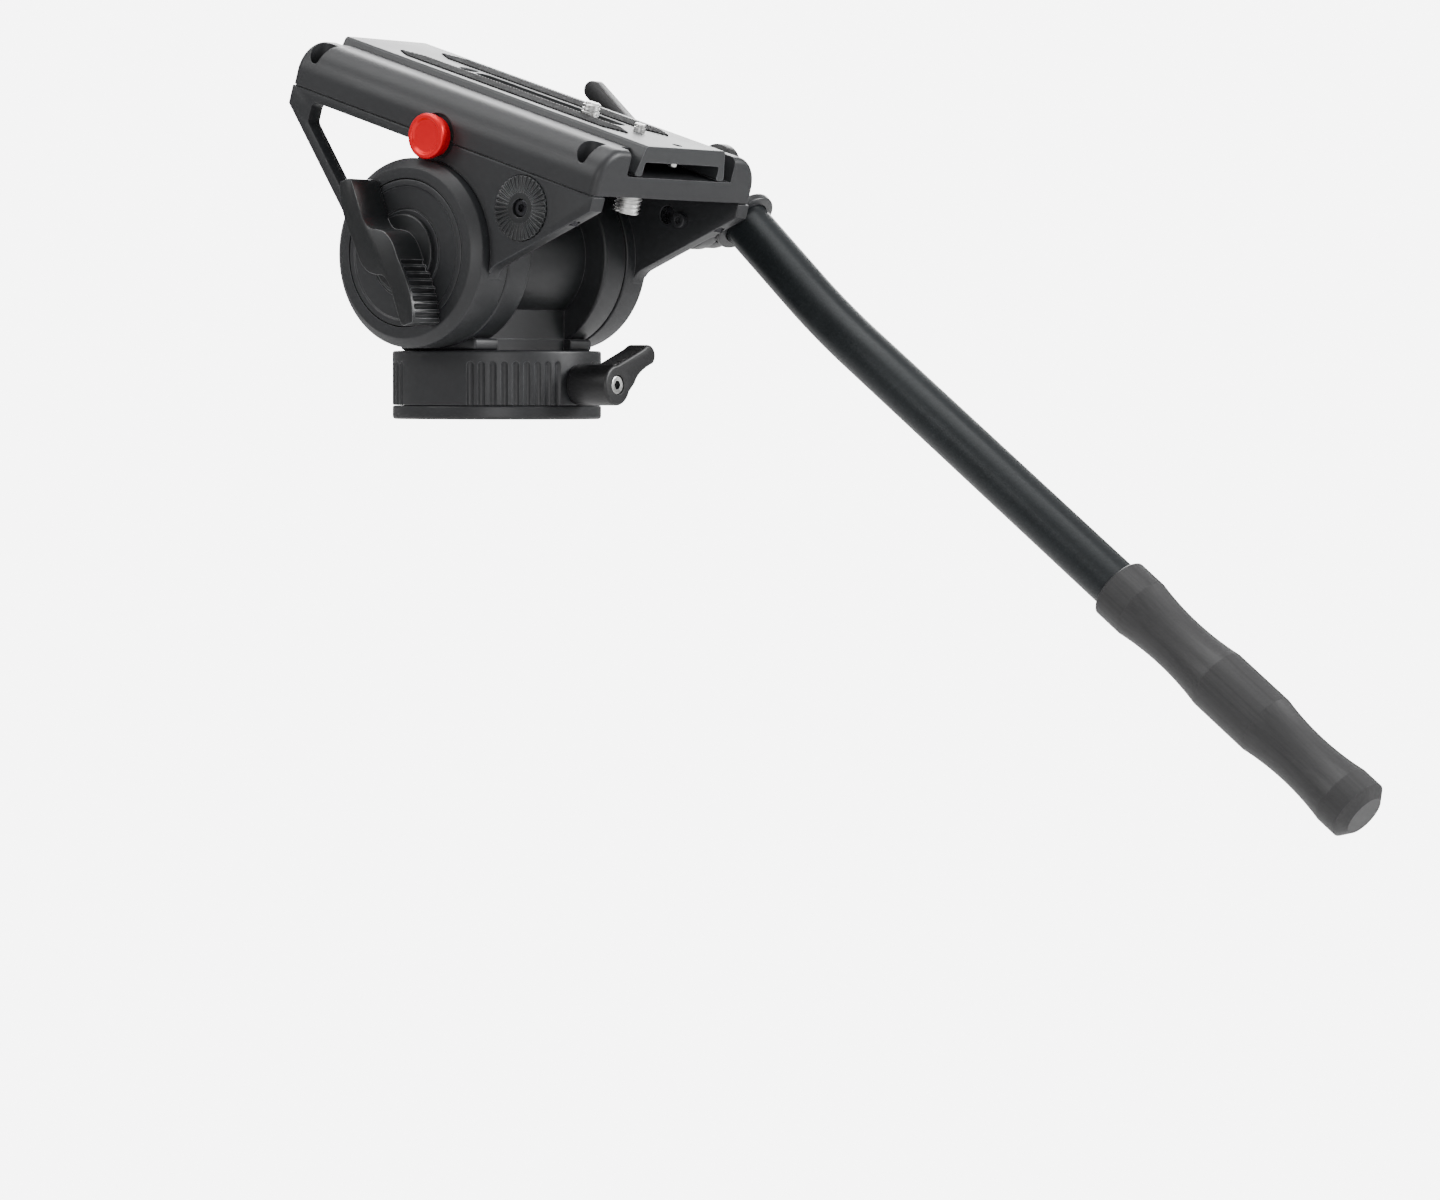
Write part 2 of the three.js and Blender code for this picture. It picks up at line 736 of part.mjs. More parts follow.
function panLockScrew() {
  const body = socketScrew(lockScrewRadius, lockScrewHeadHeight, lockScrewShankRadius, lockScrewLength);
  const mesh = piece('pan_lock_screw', body, 'steel');
  mesh.rotation.x = Math.PI / 2;
  return placed(mesh, 0, leverFace + fitGap, panLockHeight);
}

// Yoke: two round cheeks on a foot, with a drum between them for the counterbalance spring
function yoke() {
  const cheekShape = new THREE.Shape().absarc(0, 0, cheekRadius, 0, 2 * Math.PI, false);
  const cheekWidth = cheekOuter - cheekInner;
  const left = solid(alongX(prism(cheekShape, cheekWidth, wideFacets / 2)).translate(-cheekOuter, 0, 0));
  const right = solid(alongX(prism(cheekShape, cheekWidth, wideFacets / 2)).translate(cheekInner, 0, 0));
  const drumEnd = cheekOuter - cheekWidth / 2;
  const drum = solid(alongX(rod(drumRadius, -drumEnd, drumEnd, roundFacets)));
  const pedestal = solid(block(
    -cheekInner - cutOverrun, cheekInner + cutOverrun, -pedestalHalfDepth, pedestalHalfDepth, footBottom, 0,
  ));
  const foot = solid(block(
    -cheekOuter, cheekOuter, -footHalfDepth, footHalfDepth, footBottom, footTop,
  ));
  const below = solid(block(
    -cheekOuter - cutOverrun, cheekOuter + cutOverrun, -cheekRadius - cutOverrun, cheekRadius + cutOverrun,
    footBottom - cheekRadius, footBottom,
  ));
  const bore = solid(alongX(rod(axleBushRadius + fitGap, -cheekOuter - cutOverrun, cheekOuter, roundFacets)));
  const chamber = solid(alongX(rod(
    springChamberRadius, -cheekInner + springChamberWall, cheekOuter + cutOverrun, roundFacets,
  )));
  const screwHoles = yokeScrewPlaces().map(([x, y]) => solid(
    rod(yokeScrewRadius + fitGap, footBottom - cutOverrun, footTop + footHeight).translate(x, y, 0),
  ));
  const body = cut(joined(left, right, drum, pedestal, foot), below, bore, chamber, ...screwHoles);
  return piece('yoke', body, 'housing');
}

function bearingCarrier() {
  const ring = alongX(tubePiece(
    springChamberRadius - fitGap, axleBushRadius + fitGap, cheekOuter - carrierThickness, cheekOuter,
  ));
  return piece('bearing_carrier', solid(ring), 'cover');
}

function axleBush(name, from, to) {
  const ring = alongX(tubePiece(axleBushRadius, boreClear, from, to));
  return piece(name, solid(ring), 'brass');
}

function tiltAxle() {
  const rightEnd = bossFaceRight - coverThickness - fitGap;
  const shoulder = bossFaceLeft - coverThickness - fitGap;
  const body = alongX(turned([
    [0, -wingFoot - insertLength], [axleStudRadius, -wingFoot - insertLength],
    [axleStudRadius, -shoulder], [axleRadius, -shoulder], [axleRadius, rightEnd], [0, rightEnd],
  ], smallFacets));
  return piece('tilt_axle', solid(body), 'steel');
}

function counterbalanceSpring() {
  const height = cheekInner - springChamberWall + cheekOuter - carrierThickness - 2 * fitGap;
  const spring = alongX(coil(springCoilRadius, springWireRadius, springTurns, height));
  spring.translate(-cheekInner + springChamberWall + fitGap, 0, 0);
  return piece('counterbalance_spring', solid(spring), 'darkSteel');
}

// Side plate outline and window in (forward, up) from the tilt axis
function sidePlateShapes() {
  const strutOffset = frontReach * Math.sin(strutDrop) - frontCornerHeight * Math.cos(strutDrop);
  const strutRun = Math.sqrt((bossRadius - bossChamferWidth) ** 2 - strutOffset ** 2);
  const strutFoot = [
    strutOffset * Math.sin(strutDrop) + strutRun * Math.cos(strutDrop),
    -strutOffset * Math.cos(strutDrop) + strutRun * Math.sin(strutDrop),
  ];
  const rearNormal = [-Math.sin(rearDrop), -Math.cos(rearDrop)];
  const rearOffset = rearReach * Math.sin(rearDrop) - rearCornerHeight * Math.cos(rearDrop);
  const filletRun = Math.sqrt((bossRadius + bossFillet) ** 2 - (rearOffset + bossFillet) ** 2);
  const filletCentre = [
    rearNormal[0] * (rearOffset + bossFillet) - Math.cos(rearDrop) * filletRun,
    rearNormal[1] * (rearOffset + bossFillet) + Math.sin(rearDrop) * filletRun,
  ];
  const toBoss = Math.atan2(-filletCentre[1], -filletCentre[0]);
  const toLine = Math.atan2(-rearNormal[1], -rearNormal[0]);
  const plateTop = seamHeight - fitGap;
  const outline = polygon([
    [frontReach, plateTop], [-rearReach, plateTop], [-rearReach, rearCornerHeight],
    ...arcPoints(filletCentre[0], filletCentre[1], bossFillet, toLine, toBoss, curveFacets),
    [0, 0], strutFoot, [frontReach, frontCornerHeight],
  ]);
  const windowTop = seamHeight - stripHeight;
  const strutEdge = (forward) => (
    frontCornerHeight + strutWidth / Math.cos(strutDrop) - (frontReach - forward) * Math.tan(strutDrop)
  );
  const lowCorner = bossRadius * Math.cos(strutDrop / 2);
  const window = roundedPolygon([
    [windowRear, windowTop], [windowRear, bossRadius / 2], [lowCorner, strutEdge(lowCorner)],
    [windowFront, strutEdge(windowFront)], [windowFront, windowTop],
  ], windowCorner);
  return { outline, window };
}

// Side plate: flat plate with a window, and a round boss that houses the tilt drag
function sidePlate(name, side, bossFace) {
  const { outline, window } = sidePlateShapes();
  const inner = side < 0 ? -plateOuter : plateInner;
  const plate = solid(alongX(prism(outline, plateThickness)).translate(inner, 0, 0));
  const opening = solid(
    alongX(prism(window, plateThickness + 2 * cutOverrun)).translate(inner - cutOverrun, 0, 0),
  );
  const coverSeat = bossFace - coverThickness - fitGap;
  const boss = solid(crossTurned(side, [
    [0, bossInner], [bossRadius, bossInner], [bossRadius, bossFace - bossChamferDepth],
    [bossRadius - bossChamferWidth, bossFace], [0, bossFace],
  ], wideFacets));
  const seat = solid(crossTurned(side, [
    [0, coverSeat], [coverRadius + fitGap, coverSeat],
    [coverRadius + fitGap, bossFace + cutOverrun], [0, bossFace + cutOverrun],
  ], wideFacets));
  const cavity = solid(crossTurned(side, [
    [0, bossInner - cutOverrun], [boreClear, bossInner - cutOverrun],
    [boreClear, bossInner + bossFloor], [drumCavityRadius, bossInner + bossFloor],
    [drumCavityRadius, coverSeat + fitGap], [0, coverSeat + fitGap],
  ], roundFacets));
  const rosetteSeat = solid(crossTurned(side, [
    [0, plateInner - cutOverrun], [handleBoltRadius + fitGap, plateInner - cutOverrun],
    [handleBoltRadius + fitGap, plateOuter - rosetteSeatDepth],
    [rosetteRadius + fitGap, plateOuter - rosetteSeatDepth],
    [rosetteRadius + fitGap, plateOuter + cutOverrun], [0, plateOuter + cutOverrun],
  ], roundFacets).translate(0, rosetteForward, rosetteHeight));
  const insideScrew = solid(crossTurned(side, [
    [0, plateInner - cutOverrun], [rosetteScrewShankRadius + fitGap, plateInner - cutOverrun],
    [rosetteScrewShankRadius + fitGap, plateOuter], [0, plateOuter],
  ], smallFacets).translate(0, rosetteForward - rosetteScrewOffset, rosetteHeight));
  const screwHoles = [frontScoop, rearScoop].map((forward) => solid(
    rod(bodyScrewRadius + fitGap, seamHeight - bodyScrewLength, seamHeight + cutOverrun)
      .translate(side * (plateInner + plateOuter) / 2, forward, 0),
  ));
  const tools = [seat, cavity, rosetteSeat, insideScrew, ...screwHoles];
  if (side < 0) {
    tools.push(buttonBore());
  }
  const body = cut(joined(cut(plate, opening), boss), ...tools);
  return piece(name, body, 'housing');
}

// Spins a profile of [radius, distance from the middle] round the X axis, on one side
function crossTurned(side, profile, facets) {
  return alongX(turned(profile.map(([radius, out]) => [radius, side * out]), facets));
}

function dragCover(name, side, bossFace, bore) {
  const back = bossFace - coverThickness;
  const step = ringEdgeRadius;
  const body = crossTurned(side, [
    [bore, back], [coverRadius, back], [coverRadius, bossFace - step / 2],
    [coverRadius - step / 2, bossFace], [knobHubRadius + step, bossFace],
    [knobHubRadius + step, bossFace - step / 2], [bore, bossFace - step / 2],
  ], wideFacets);
  return piece(name, solid(body), 'cover');
}

function closedCover(name, side, bossFace) {
  const back = bossFace - coverThickness;
  const step = ringEdgeRadius;
  const body = crossTurned(side, [
    [0, back], [coverRadius, back], [coverRadius, bossFace - step / 2],
    [coverRadius - step / 2, bossFace], [knobHubRadius + step, bossFace],
    [knobHubRadius + step, bossFace - step / 2], [0, bossFace - step / 2],
  ], wideFacets);
  return piece(name, solid(body), 'cover');
}

function dragDisc(name, side) {
  const start = bossInner + bossFloor + fitGap;
  const body = crossTurned(side, [
    [boreClear, start], [dragDiscRadius, start],
    [dragDiscRadius, start + dragDiscHeight], [boreClear, start + dragDiscHeight],
  ], roundFacets);
  return piece(name, solid(body), 'darkSteel');
}

// Toothed disc: radial teeth that fade outwards, round a raised hub; its face points along +Z
function toothedDisc(thickness, hubHeight, bore) {
  const rings = [
    [0, () => 0],
    [rosetteRadius, () => 0],
    [rosetteRadius, (peak) => thickness + peak * toothOuterHeight],
    [rosetteTeethRadius, (peak) => thickness + peak * toothHeight],
    [rosetteHubRadius, () => thickness + hubHeight],
    [0, () => thickness + hubHeight],
  ];
  const around = 2 * rosetteTeeth;
  const positions = [];
  const indices = [];
  rings.forEach(([radius, heightAt]) => {
    for (let step = 0; step < around; step += 1) {
      const angle = 2 * Math.PI * step / around;
      positions.push(radius * Math.cos(angle), radius * Math.sin(angle), heightAt(step % 2));
    }
  });
  for (let near = 0; near < (rings.length - 1) * around; near += around) {
    const far = near + around;
    for (let step = 0; step < around; step += 1) {
      const next = (step + 1) % around;
      indices.push(near + step, near + next, far + next, near + step, far + next, far + step);
    }
  }
  const geometry = new THREE.BufferGeometry();
  geometry.setAttribute('position', new THREE.Float32BufferAttribute(positions, 3));
  geometry.setIndex(indices);
  return cut(solid(geometry), solid(rod(bore, -cutOverrun, thickness + hubHeight + cutOverrun)));
}

function rosette(name, side) {
  const thickness = rosetteSeatDepth - fitGap;
  const disc = toothedDisc(thickness, toothHeight, handleBoltRadius + fitGap);
  const mesh = piece(name, disc, 'lever');
  mesh.rotation.y = side * Math.PI / 2;
  return placed(mesh, side * (plateOuter - thickness), rosetteForward, rosetteHeight);
}

function rosettePlug() {
  const body = socketScrew(handleBoltRadius, rosetteSeatDepth, handleBoltRadius, plateThickness - fitGap);
  const mesh = piece('rosette_plug', body, 'darkSteel');
  mesh.rotation.y = -Math.PI / 2;
  return placed(mesh, -plateOuter, rosetteForward, rosetteHeight);
}

function rosetteScrew(name, side) {
  const body = socketScrew(
    rosetteScrewRadius, rosetteScrewHeadHeight, rosetteScrewShankRadius,
    rosetteScrewHeadHeight + plateThickness - rosetteSeatDepth - fitGap,
  );
  const mesh = piece(name, body, 'steel');
  mesh.rotation.y = -side * Math.PI / 2;
  return placed(
    mesh, side * (plateInner - fitGap - rosetteScrewHeadHeight),
    rosetteForward - rosetteScrewOffset, rosetteHeight,
  );
}

// Tilt lock knob: round hub and a wing shaped like a flat S, ribbed where the thumb pushes.
// It is drawn with its face towards +Z and its wing along +X.
function tiltLockKnob() {
  const lengthShares = [
    -1, -0.87, -0.675, -0.45, -0.233, -0.03, 0.126, 0.221, 0.305, 0.45, 0.577, 0.74, 0.9, 0.965,
  ];
  const widthShares = [
    0.3, 0.57, 0.8, 0.91, 0.94, 1, 0.86, 0.545, 0.168, 0.068, 0.126, 0.222, 0.3, 0.2,
  ];
  const flank = lengthShares.map((share, index) => new THREE.Vector2(
    share * wingHalfLength, -widthShares[index] * wingHalfWidth,
  ));
  const curve = new THREE.SplineCurve([...flank, flank[0].clone().negate()]);
  const half = curve.getPoints(wingCurveSteps).slice(0, -1);
  const shape = new THREE.Shape([...half, ...half.map((point) => point.clone().negate())]);
  const wingHeight = wingFace - wingFoot;
  const wing = solid(prism(shape, wingHeight));
  const grooves = [];
  for (let rib = 0; rib < wingRibCount; rib += 1) {
    const along = wingRibFirst + rib * wingRibPitch - wingHalfLength;
    const point = curve.getPoint(flankShare(flank, along));
    const groove = rod(wingRibRadius, -cutOverrun, wingHeight - wingRibEnd, springSides);
    grooves.push(solid(groove.clone().translate(point.x, point.y, 0)));
    grooves.push(solid(groove.translate(-point.x, -point.y, 0)));
  }
  const hub = solid(rod(knobHubRadius, 0, knobHubHeight, roundFacets));
  const bore = solid(rod(insertRadius + fitGap, -cutOverrun, insertLength + fitGap, smallFacets));
  const mesh = piece('tilt_lock_knob', cut(joined(cut(wing, ...grooves), hub), bore), 'cover');
  mesh.rotation.z = Math.PI / 2 - wingAngle;
  return mesh;
}

// Share of the flank's curve at which it passes one place along the wing
function flankShare(flank, along) {
  const next = flank.findIndex((point) => point.x > along);
  const low = flank[next - 1].x;
  const high = flank[next].x;
  return (next - 1 + (along - low) / (high - low)) / flank.length;
}

function knobInsert() {
  const body = tubePiece(insertRadius, axleStudRadius + fitGap, fitGap, insertLength, smallFacets);
  return piece('tilt_knob_insert', solid(body), 'brass');
}

function safetyBore(radius, from, to) {
  return alongX(rod(radius, from, to, roundFacets)).translate(0, buttonForward, buttonHeight);
}

// Bore for the safety button: a wide mouth for its skirt and a narrow guide for its stem
function buttonBore() {
  const mouth = solid(safetyBore(
    buttonRadius + fitGap, -bodyHalfWidth - cutOverrun, -buttonSkirt + buttonTravel + fitGap,
  ));
  const guide = solid(safetyBore(
    buttonStemRadius + fitGap, -bodyHalfWidth, -buttonStemEnd + buttonTravel + fitGap,
  ));
  return joined(mouth, guide);
}

// Channel body: extruded channel with a dovetail groove, rounded shoulders and screw scoops
function channelBody() {
  const shoulder = arcPoints(
    bodyHalfWidth - shoulderRadius, bodyTop - shoulderRadius, shoulderRadius, 0, Math.PI / 2, curveFacets,
  );
  const mouthHalf = flankAt(bodyTop) + fitGap;
  const footHalf = flankAt(floorTop) + fitGap;
  const profile = polygon([
    [-bodyHalfWidth, seamHeight], [bodyHalfWidth, seamHeight],
    ...shoulder,
    [mouthHalf, bodyTop], [footHalf, floorTop],
    [-footHalf, floorTop], [-mouthHalf, bodyTop],
    ...shoulder.map(([x, z]) => [-x, z]).reverse(),
  ]);
  const length = bodyFront + rearReach;
  const channel = solid(alongRear(prism(profile, length)).translate(0, bodyFront, 0));
  const plan = roundedPolygon([
    [-bodyHalfWidth, -rearReach], [bodyHalfWidth, -rearReach],
    [bodyHalfWidth, bodyFront], [-bodyHalfWidth, bodyFront],
  ], bodyCornerRadius);
  const roundedPlan = solid(prism(plan, bodyTop).translate(0, 0, seamHeight - cutOverrun));
  const relief = (from, to) => solid(block(
    -reliefHalfWidth, reliefHalfWidth, from, to, floorTop, bodyTop + cutOverrun,
  ));
  const jawPocket = solid(block(
    0, jawOuter + jawTravel + fitGap, -rearReach - cutOverrun, jawRear + jawLength + fitGap,
    floorTop, bodyTop + cutOverrun,
  ));
  const scoops = screwPlaces().map(([across, forward]) => solid(turned([
    [0, seamHeight - cutOverrun], [bodyScrewRadius + fitGap, seamHeight - cutOverrun],
    [bodyScrewRadius + fitGap, seamHeight + scoopFloorHeight],
    [scoopRadius, seamHeight + scoopFloorHeight], [scoopRadius, bodyTop + cutOverrun],
    [0, bodyTop + cutOverrun],
  ], smallFacets).translate(across, forward, 0)));
  const catchSlot = solid(block(
    -buttonStemEnd - catchWidth - fitGap, -buttonStemEnd + buttonTravel + fitGap,
    buttonForward - catchLength / 2 - fitGap, buttonForward + catchLength / 2 + fitGap,
    seamHeight - cutOverrun, floorTop + cutOverrun,
  ));
  const leverBore = solid(alongX(rod(
    plateLeverShankRadius + fitGap, cameraPlateHalfWidth, bodyHalfWidth + cutOverrun,
  )).translate(0, plateLeverForward, plateLeverHeight));
  const spareHole = solid(rod(
    spareScrewRadius + fitGap, seamHeight - cutOverrun, seamHeight + spareScrewDepth + fitGap,
  ).translate(spareScrewAcross, spareScrewForward, 0));
  const body = cut(
    channel.intersect(roundedPlan),
    relief(-rearReach - cutOverrun, -rearReach + reliefLength),
    relief(bodyFront - reliefLength, bodyFront + cutOverrun),
    jawPocket, ...scoops, buttonBore(), catchSlot, leverBore, spareHole,
  );
  return piece('channel_body', body, 'housing');
}

// Half width of the camera plate's dovetail at one height
function flankAt(height) {
  const depthShare = (cameraPlateTop - height) / (cameraPlateTop - floorTop);
  return cameraPlateHalfWidth + dovetailSpread * depthShare;
}

function screwPlaces() {
  const across = (plateInner + plateOuter) / 2;
  return [
    [-across, frontScoop], [across, frontScoop], [-across, rearScoop], [across, rearScoop],
  ];
}

function bodyScrews() {
  const names = ['front_left', 'front_right', 'rear_left', 'rear_right'];
  return screwPlaces().map(([across, forward], index) => {
    const body = socketScrew(
      bodyScrewHeadRadius, bodyScrewHeadHeight, bodyScrewRadius,
      bodyScrewHeadHeight + scoopFloorHeight + bodyScrewLength - fitGap - fitGap,
    );
    const top = seamHeight + scoopFloorHeight + fitGap + bodyScrewHeadHeight;
    return placed(piece(`body_screw_${names[index]}`, body, 'darkSteel'), across, forward, top);
  });
}

// Sliding clamp jaw: the right flank of the dovetail over part of its length
function clampJaw() {
  const top = bodyTop - fitGap;
  const bottom = floorTop + fitGap;
  const profile = polygon([
    [flankAt(top) + fitGap, top], [jawOuter, top], [jawOuter, bottom], [flankAt(bottom) + fitGap, bottom],
  ]);
  const bar = solid(alongRear(prism(profile, jawLength)).translate(0, jawRear + jawLength, 0));
  return piece('clamp_jaw', bar, 'cover');
}

// Plate lever: round hub on the right wall, and an arm that runs forward and turns up at its end
function plateLever() {
  const half = plateLeverArmHalfWidth;
  const rise = plateLeverRise;
  const kneeShift = half * Math.tan(rise / 2);
  const tipX = plateLeverArm + plateLeverEnd * Math.cos(rise);
  const tipY = plateLeverEnd * Math.sin(rise);
  const quarter = Math.PI / 2;
  const shape = polygon([
    ...arcPoints(0, 0, plateLeverHubRadius, quarter / 2, 4 * quarter - quarter / 2, 4 * curveFacets),
    [plateLeverNeck, -half], [plateLeverArm + kneeShift, -half],
    ...arcPoints(tipX, tipY, plateLeverTipRadius, rise - quarter, rise + quarter, 2 * curveFacets),
    [plateLeverArm - kneeShift, half], [plateLeverNeck, half],
  ]);
  const blade = solid(alongX(prism(shape, plateLeverThickness)));
  const headBore = solid(alongX(rod(
    plateLeverBoltRadius + fitGap, plateLeverThickness / 2 - 2 * fitGap, plateLeverThickness + cutOverrun,
  )));
  const shankBore = solid(alongX(rod(
    plateLeverShankRadius + fitGap, -cutOverrun, plateLeverThickness + cutOverrun,
  )));
  const body = cut(blade, headBore, shankBore);
  return placed(piece('plate_lever', body, 'lever'), plateLeverInner, plateLeverForward, plateLeverHeight);
}

function plateLeverBolt() {
  const start = jawOuter + fitGap + jawTravel;
  const body = socketScrew(
    plateLeverBoltRadius, plateLeverThickness / 2, plateLeverShankRadius,
    plateLeverInner + plateLeverThickness - fitGap - start,
  );
  const mesh = piece('plate_lever_bolt', body, 'steel');
  mesh.rotation.y = Math.PI / 2;
  return placed(
    mesh, plateLeverInner + plateLeverThickness - fitGap, plateLeverForward, plateLeverHeight,
  );
}

// Safety button: dished cup with a rim, sliding in the mouth of its bore
function safetyButton() {
  const back = buttonFace - buttonDishDepth - buttonWall;
  const cup = crossTurned(-1, [
    [0, back], [buttonRadius - buttonWall, back], [buttonRadius - buttonWall, buttonSkirt],
    [buttonRadius, buttonSkirt], [buttonRadius, buttonFace - buttonRim / 2],
    [buttonRadius - buttonRim / 2, buttonFace], [buttonRadius - buttonRim, buttonFace],
    [buttonRadius - 2 * buttonRim, buttonFace - buttonDishDepth], [0, buttonFace - buttonDishDepth],
  ], roundFacets);
  return placed(piece('safety_button', solid(cup), 'button'), 0, buttonForward, buttonHeight);
}

// Catch: the button's stem, with a finger that rises through the floor to stop the plate
function safetyCatch() {
  const back = buttonFace - buttonDishDepth - buttonWall - fitGap;
  const stem = solid(alongX(rod(buttonStemRadius, -back, -buttonStemEnd)));
  const finger = solid(block(
    -buttonStemEnd - catchWidth, -buttonStemEnd, -catchLength / 2, catchLength / 2, 0, catchHeight,
  ));
  return placed(piece('safety_catch', joined(stem, finger), 'steel'), 0, buttonForward, buttonHeight);
}

function buttonSpring() {
  const from = buttonSkirt - buttonTravel;
  const to = buttonFace - buttonDishDepth - buttonWall - fitGap;
  const spring = alongX(coil(buttonSpringRadius, buttonSpringWire, buttonSpringTurns, to - from));
  spring.translate(-to, 0, 0);
  return placed(piece('button_spring', solid(spring), 'steel'), 0, buttonForward, buttonHeight);
}

// Camera plate: dovetail plate with a long screw slot, hollow underneath
function cameraPlate() {
  const foot = flankAt(legBottom);
  const underside = cameraPlateTop - cameraPlateThickness;
  const edge = cameraPlateEdge;
  const half = cameraPlateHalfWidth;
  const bevelFoot = flankAt(cameraPlateTop - edge);
  const inner = cameraPlateInnerHalf;
  const profile = polygon([
    [-foot, legBottom], [-inner, legBottom], [-inner, underside], [inner, underside],
    [inner, legBottom], [foot, legBottom], [bevelFoot, cameraPlateTop - edge],
    [half - edge, cameraPlateTop], [edge - half, cameraPlateTop], [-bevelFoot, cameraPlateTop - edge],
  ]);
  const length = cameraPlateFront - cameraPlateRear;
  const plate = solid(alongRear(prism(profile, length)).translate(0, cameraPlateFront, 0));
  const upright = (shape, bottom, top) => solid(
    prism(shape, top - bottom).rotateZ(Math.PI / 2).translate(0, 0, bottom),
  );
  const above = cameraPlateTop + cutOverrun;
  const below = underside - cutOverrun;
  const slot = upright(slotShape(slotRear, slotFront, slotHalfWidth), below, above);
  const recess = upright(
    slotShape(slotRear - slotHalfWidth, slotFront + slotHalfWidth, slotRecessHalfWidth),
    below, underside + slotRecessDepth,
  );
  const seats = [-1, 1].map((side) => solid(
    prism(stripShape(fitGap), cutOverrun + stripSeatDepth)
      .translate(side * (stripInner + stripOuter) / 2, 0, cameraPlateTop - stripSeatDepth),
  ));
  const hole = solid(rod(plateHoleRadius, below, above).translate(0, plateHoleForward, 0));
  const pinHole = solid(turned([
    [0, below], [videoPinFlangeRadius + fitGap, below],
    [videoPinFlangeRadius + fitGap, underside + slotRecessDepth],
    [videoPinRadius + fitGap, underside + slotRecessDepth], [videoPinRadius + fitGap, above], [0, above],
  ], smallFacets).translate(0, videoPinForward, 0));
  const stopHoles = [stopScrewFront, stopScrewRear].map((forward) => solid(
    rod(stopScrewRadius + fitGap, below, above).translate(stopScrewAcross, forward, 0),
  ));
  const body = cut(plate, slot, recess, ...seats, hole, pinHole, ...stopHoles);
  return piece('camera_plate', body, 'housing');
}

// Outline of a grip strip, seen from above: a long bar with pointed ends
function stripShape(clearance) {
  const half = (stripOuter - stripInner) / 2 + clearance;
  const front = stripFront + clearance;
  const rear = stripRear - clearance;
  return polygon([
    [0, rear], [half, rear + stripPoint], [half, front - stripPoint],
    [0, front], [-half, front - stripPoint], [-half, rear + stripPoint],
  ]);
}

function gripStrip(name, side) {
  const height = stripSeatDepth + stripProud - fitGap;
  const body = solid(prism(stripShape(0), height));
  return placed(
    piece(name, body, 'rubber'),
    side * (stripInner + stripOuter) / 2, 0, cameraPlateTop - stripSeatDepth + fitGap,
  );
}

function stopScrew(name, forward) {
  const top = cameraPlateTop - stripSeatDepth;
  const bottom = cameraPlateTop - cameraPlateThickness - stopScrewDrop;
  const body = socketScrew(stopScrewRadius, stopScrewRadius, stopScrewRadius, top - bottom);
  return placed(piece(name, body, 'darkSteel'), stopScrewAcross, forward, top);
}

// Camera screw: flat head under the plate, threaded shank standing out on top, slotted at its end
function cameraScrew() {
  const ledge = cameraPlateTop - cameraPlateThickness + slotRecessDepth;
  const headTop = ledge - washerHeight - 2 * fitGap;
  const top = cameraPlateTop + cameraScrewProud;
  const body = solid(turned([
    [0, headTop - cameraScrewHeadHeight], [cameraScrewHeadRadius, headTop - cameraScrewHeadHeight],
    [cameraScrewHeadRadius, headTop], [cameraScrewRadius, headTop],
    [cameraScrewRadius, top - screwSlotWidth / 2],
    [cameraScrewRadius - screwSlotWidth / 2, top], [0, top],
  ], smallFacets));
  const slot = solid(block(
    -cameraScrewHeadRadius - cutOverrun, cameraScrewHeadRadius + cutOverrun,
    -screwSlotWidth / 2, screwSlotWidth / 2,
    headTop - cameraScrewHeadHeight - cutOverrun, headTop - cameraScrewHeadHeight + screwSlotDepth,
  ));
  return placed(piece('camera_screw', cut(body, slot), 'steel'), 0, cameraScrewForward, 0);
}

function cameraScrewWasher() {
  const top = cameraPlateTop - cameraPlateThickness + slotRecessDepth - fitGap;
  const bore = cameraScrewRadius + fitGap;
  const ring = tubePiece(cameraScrewHeadRadius, bore, top - washerHeight, top, smallFacets);
  return placed(piece('camera_screw_washer', solid(ring), 'nylon'), 0, cameraScrewForward, 0);
}

function videoPin() {
  const flangeTop = cameraPlateTop - cameraPlateThickness + slotRecessDepth - fitGap;
  const top = cameraPlateTop + videoPinProud;
  const tip = videoPinRadius / 2;
  const body = turned([
    [0, flangeTop - videoPinFlangeHeight], [videoPinFlangeRadius, flangeTop - videoPinFlangeHeight],
    [videoPinFlangeRadius, flangeTop], [videoPinRadius, flangeTop], [videoPinRadius, top - tip],
    [tip, top], [0, top],
  ], smallFacets);
  return placed(piece('video_pin', solid(body), 'steel'), 0, videoPinForward, 0);
}

// Spare tripod screw, threaded into the underside of the floor
function spareScrew() {
  const top = seamHeight + spareScrewDepth;
  const bottom = seamHeight - spareScrewDrop;
  const profile = [[0, bottom], [spareScrewRadius - spareThreadDepth, bottom]];
  for (let height = bottom + spareThreadPitch / 2; height < seamHeight; height += spareThreadPitch) {
    profile.push([spareScrewRadius, height]);
    profile.push([spareScrewRadius - spareThreadDepth, height + spareThreadPitch / 2]);
  }
  profile.push([spareScrewRadius - spareThreadDepth, top], [0, top]);
  return placed(
    piece('spare_tripod_screw', solid(turned(profile, smallFacets)), 'steel'),
    spareScrewAcross, spareScrewForward, 0,
  );
}

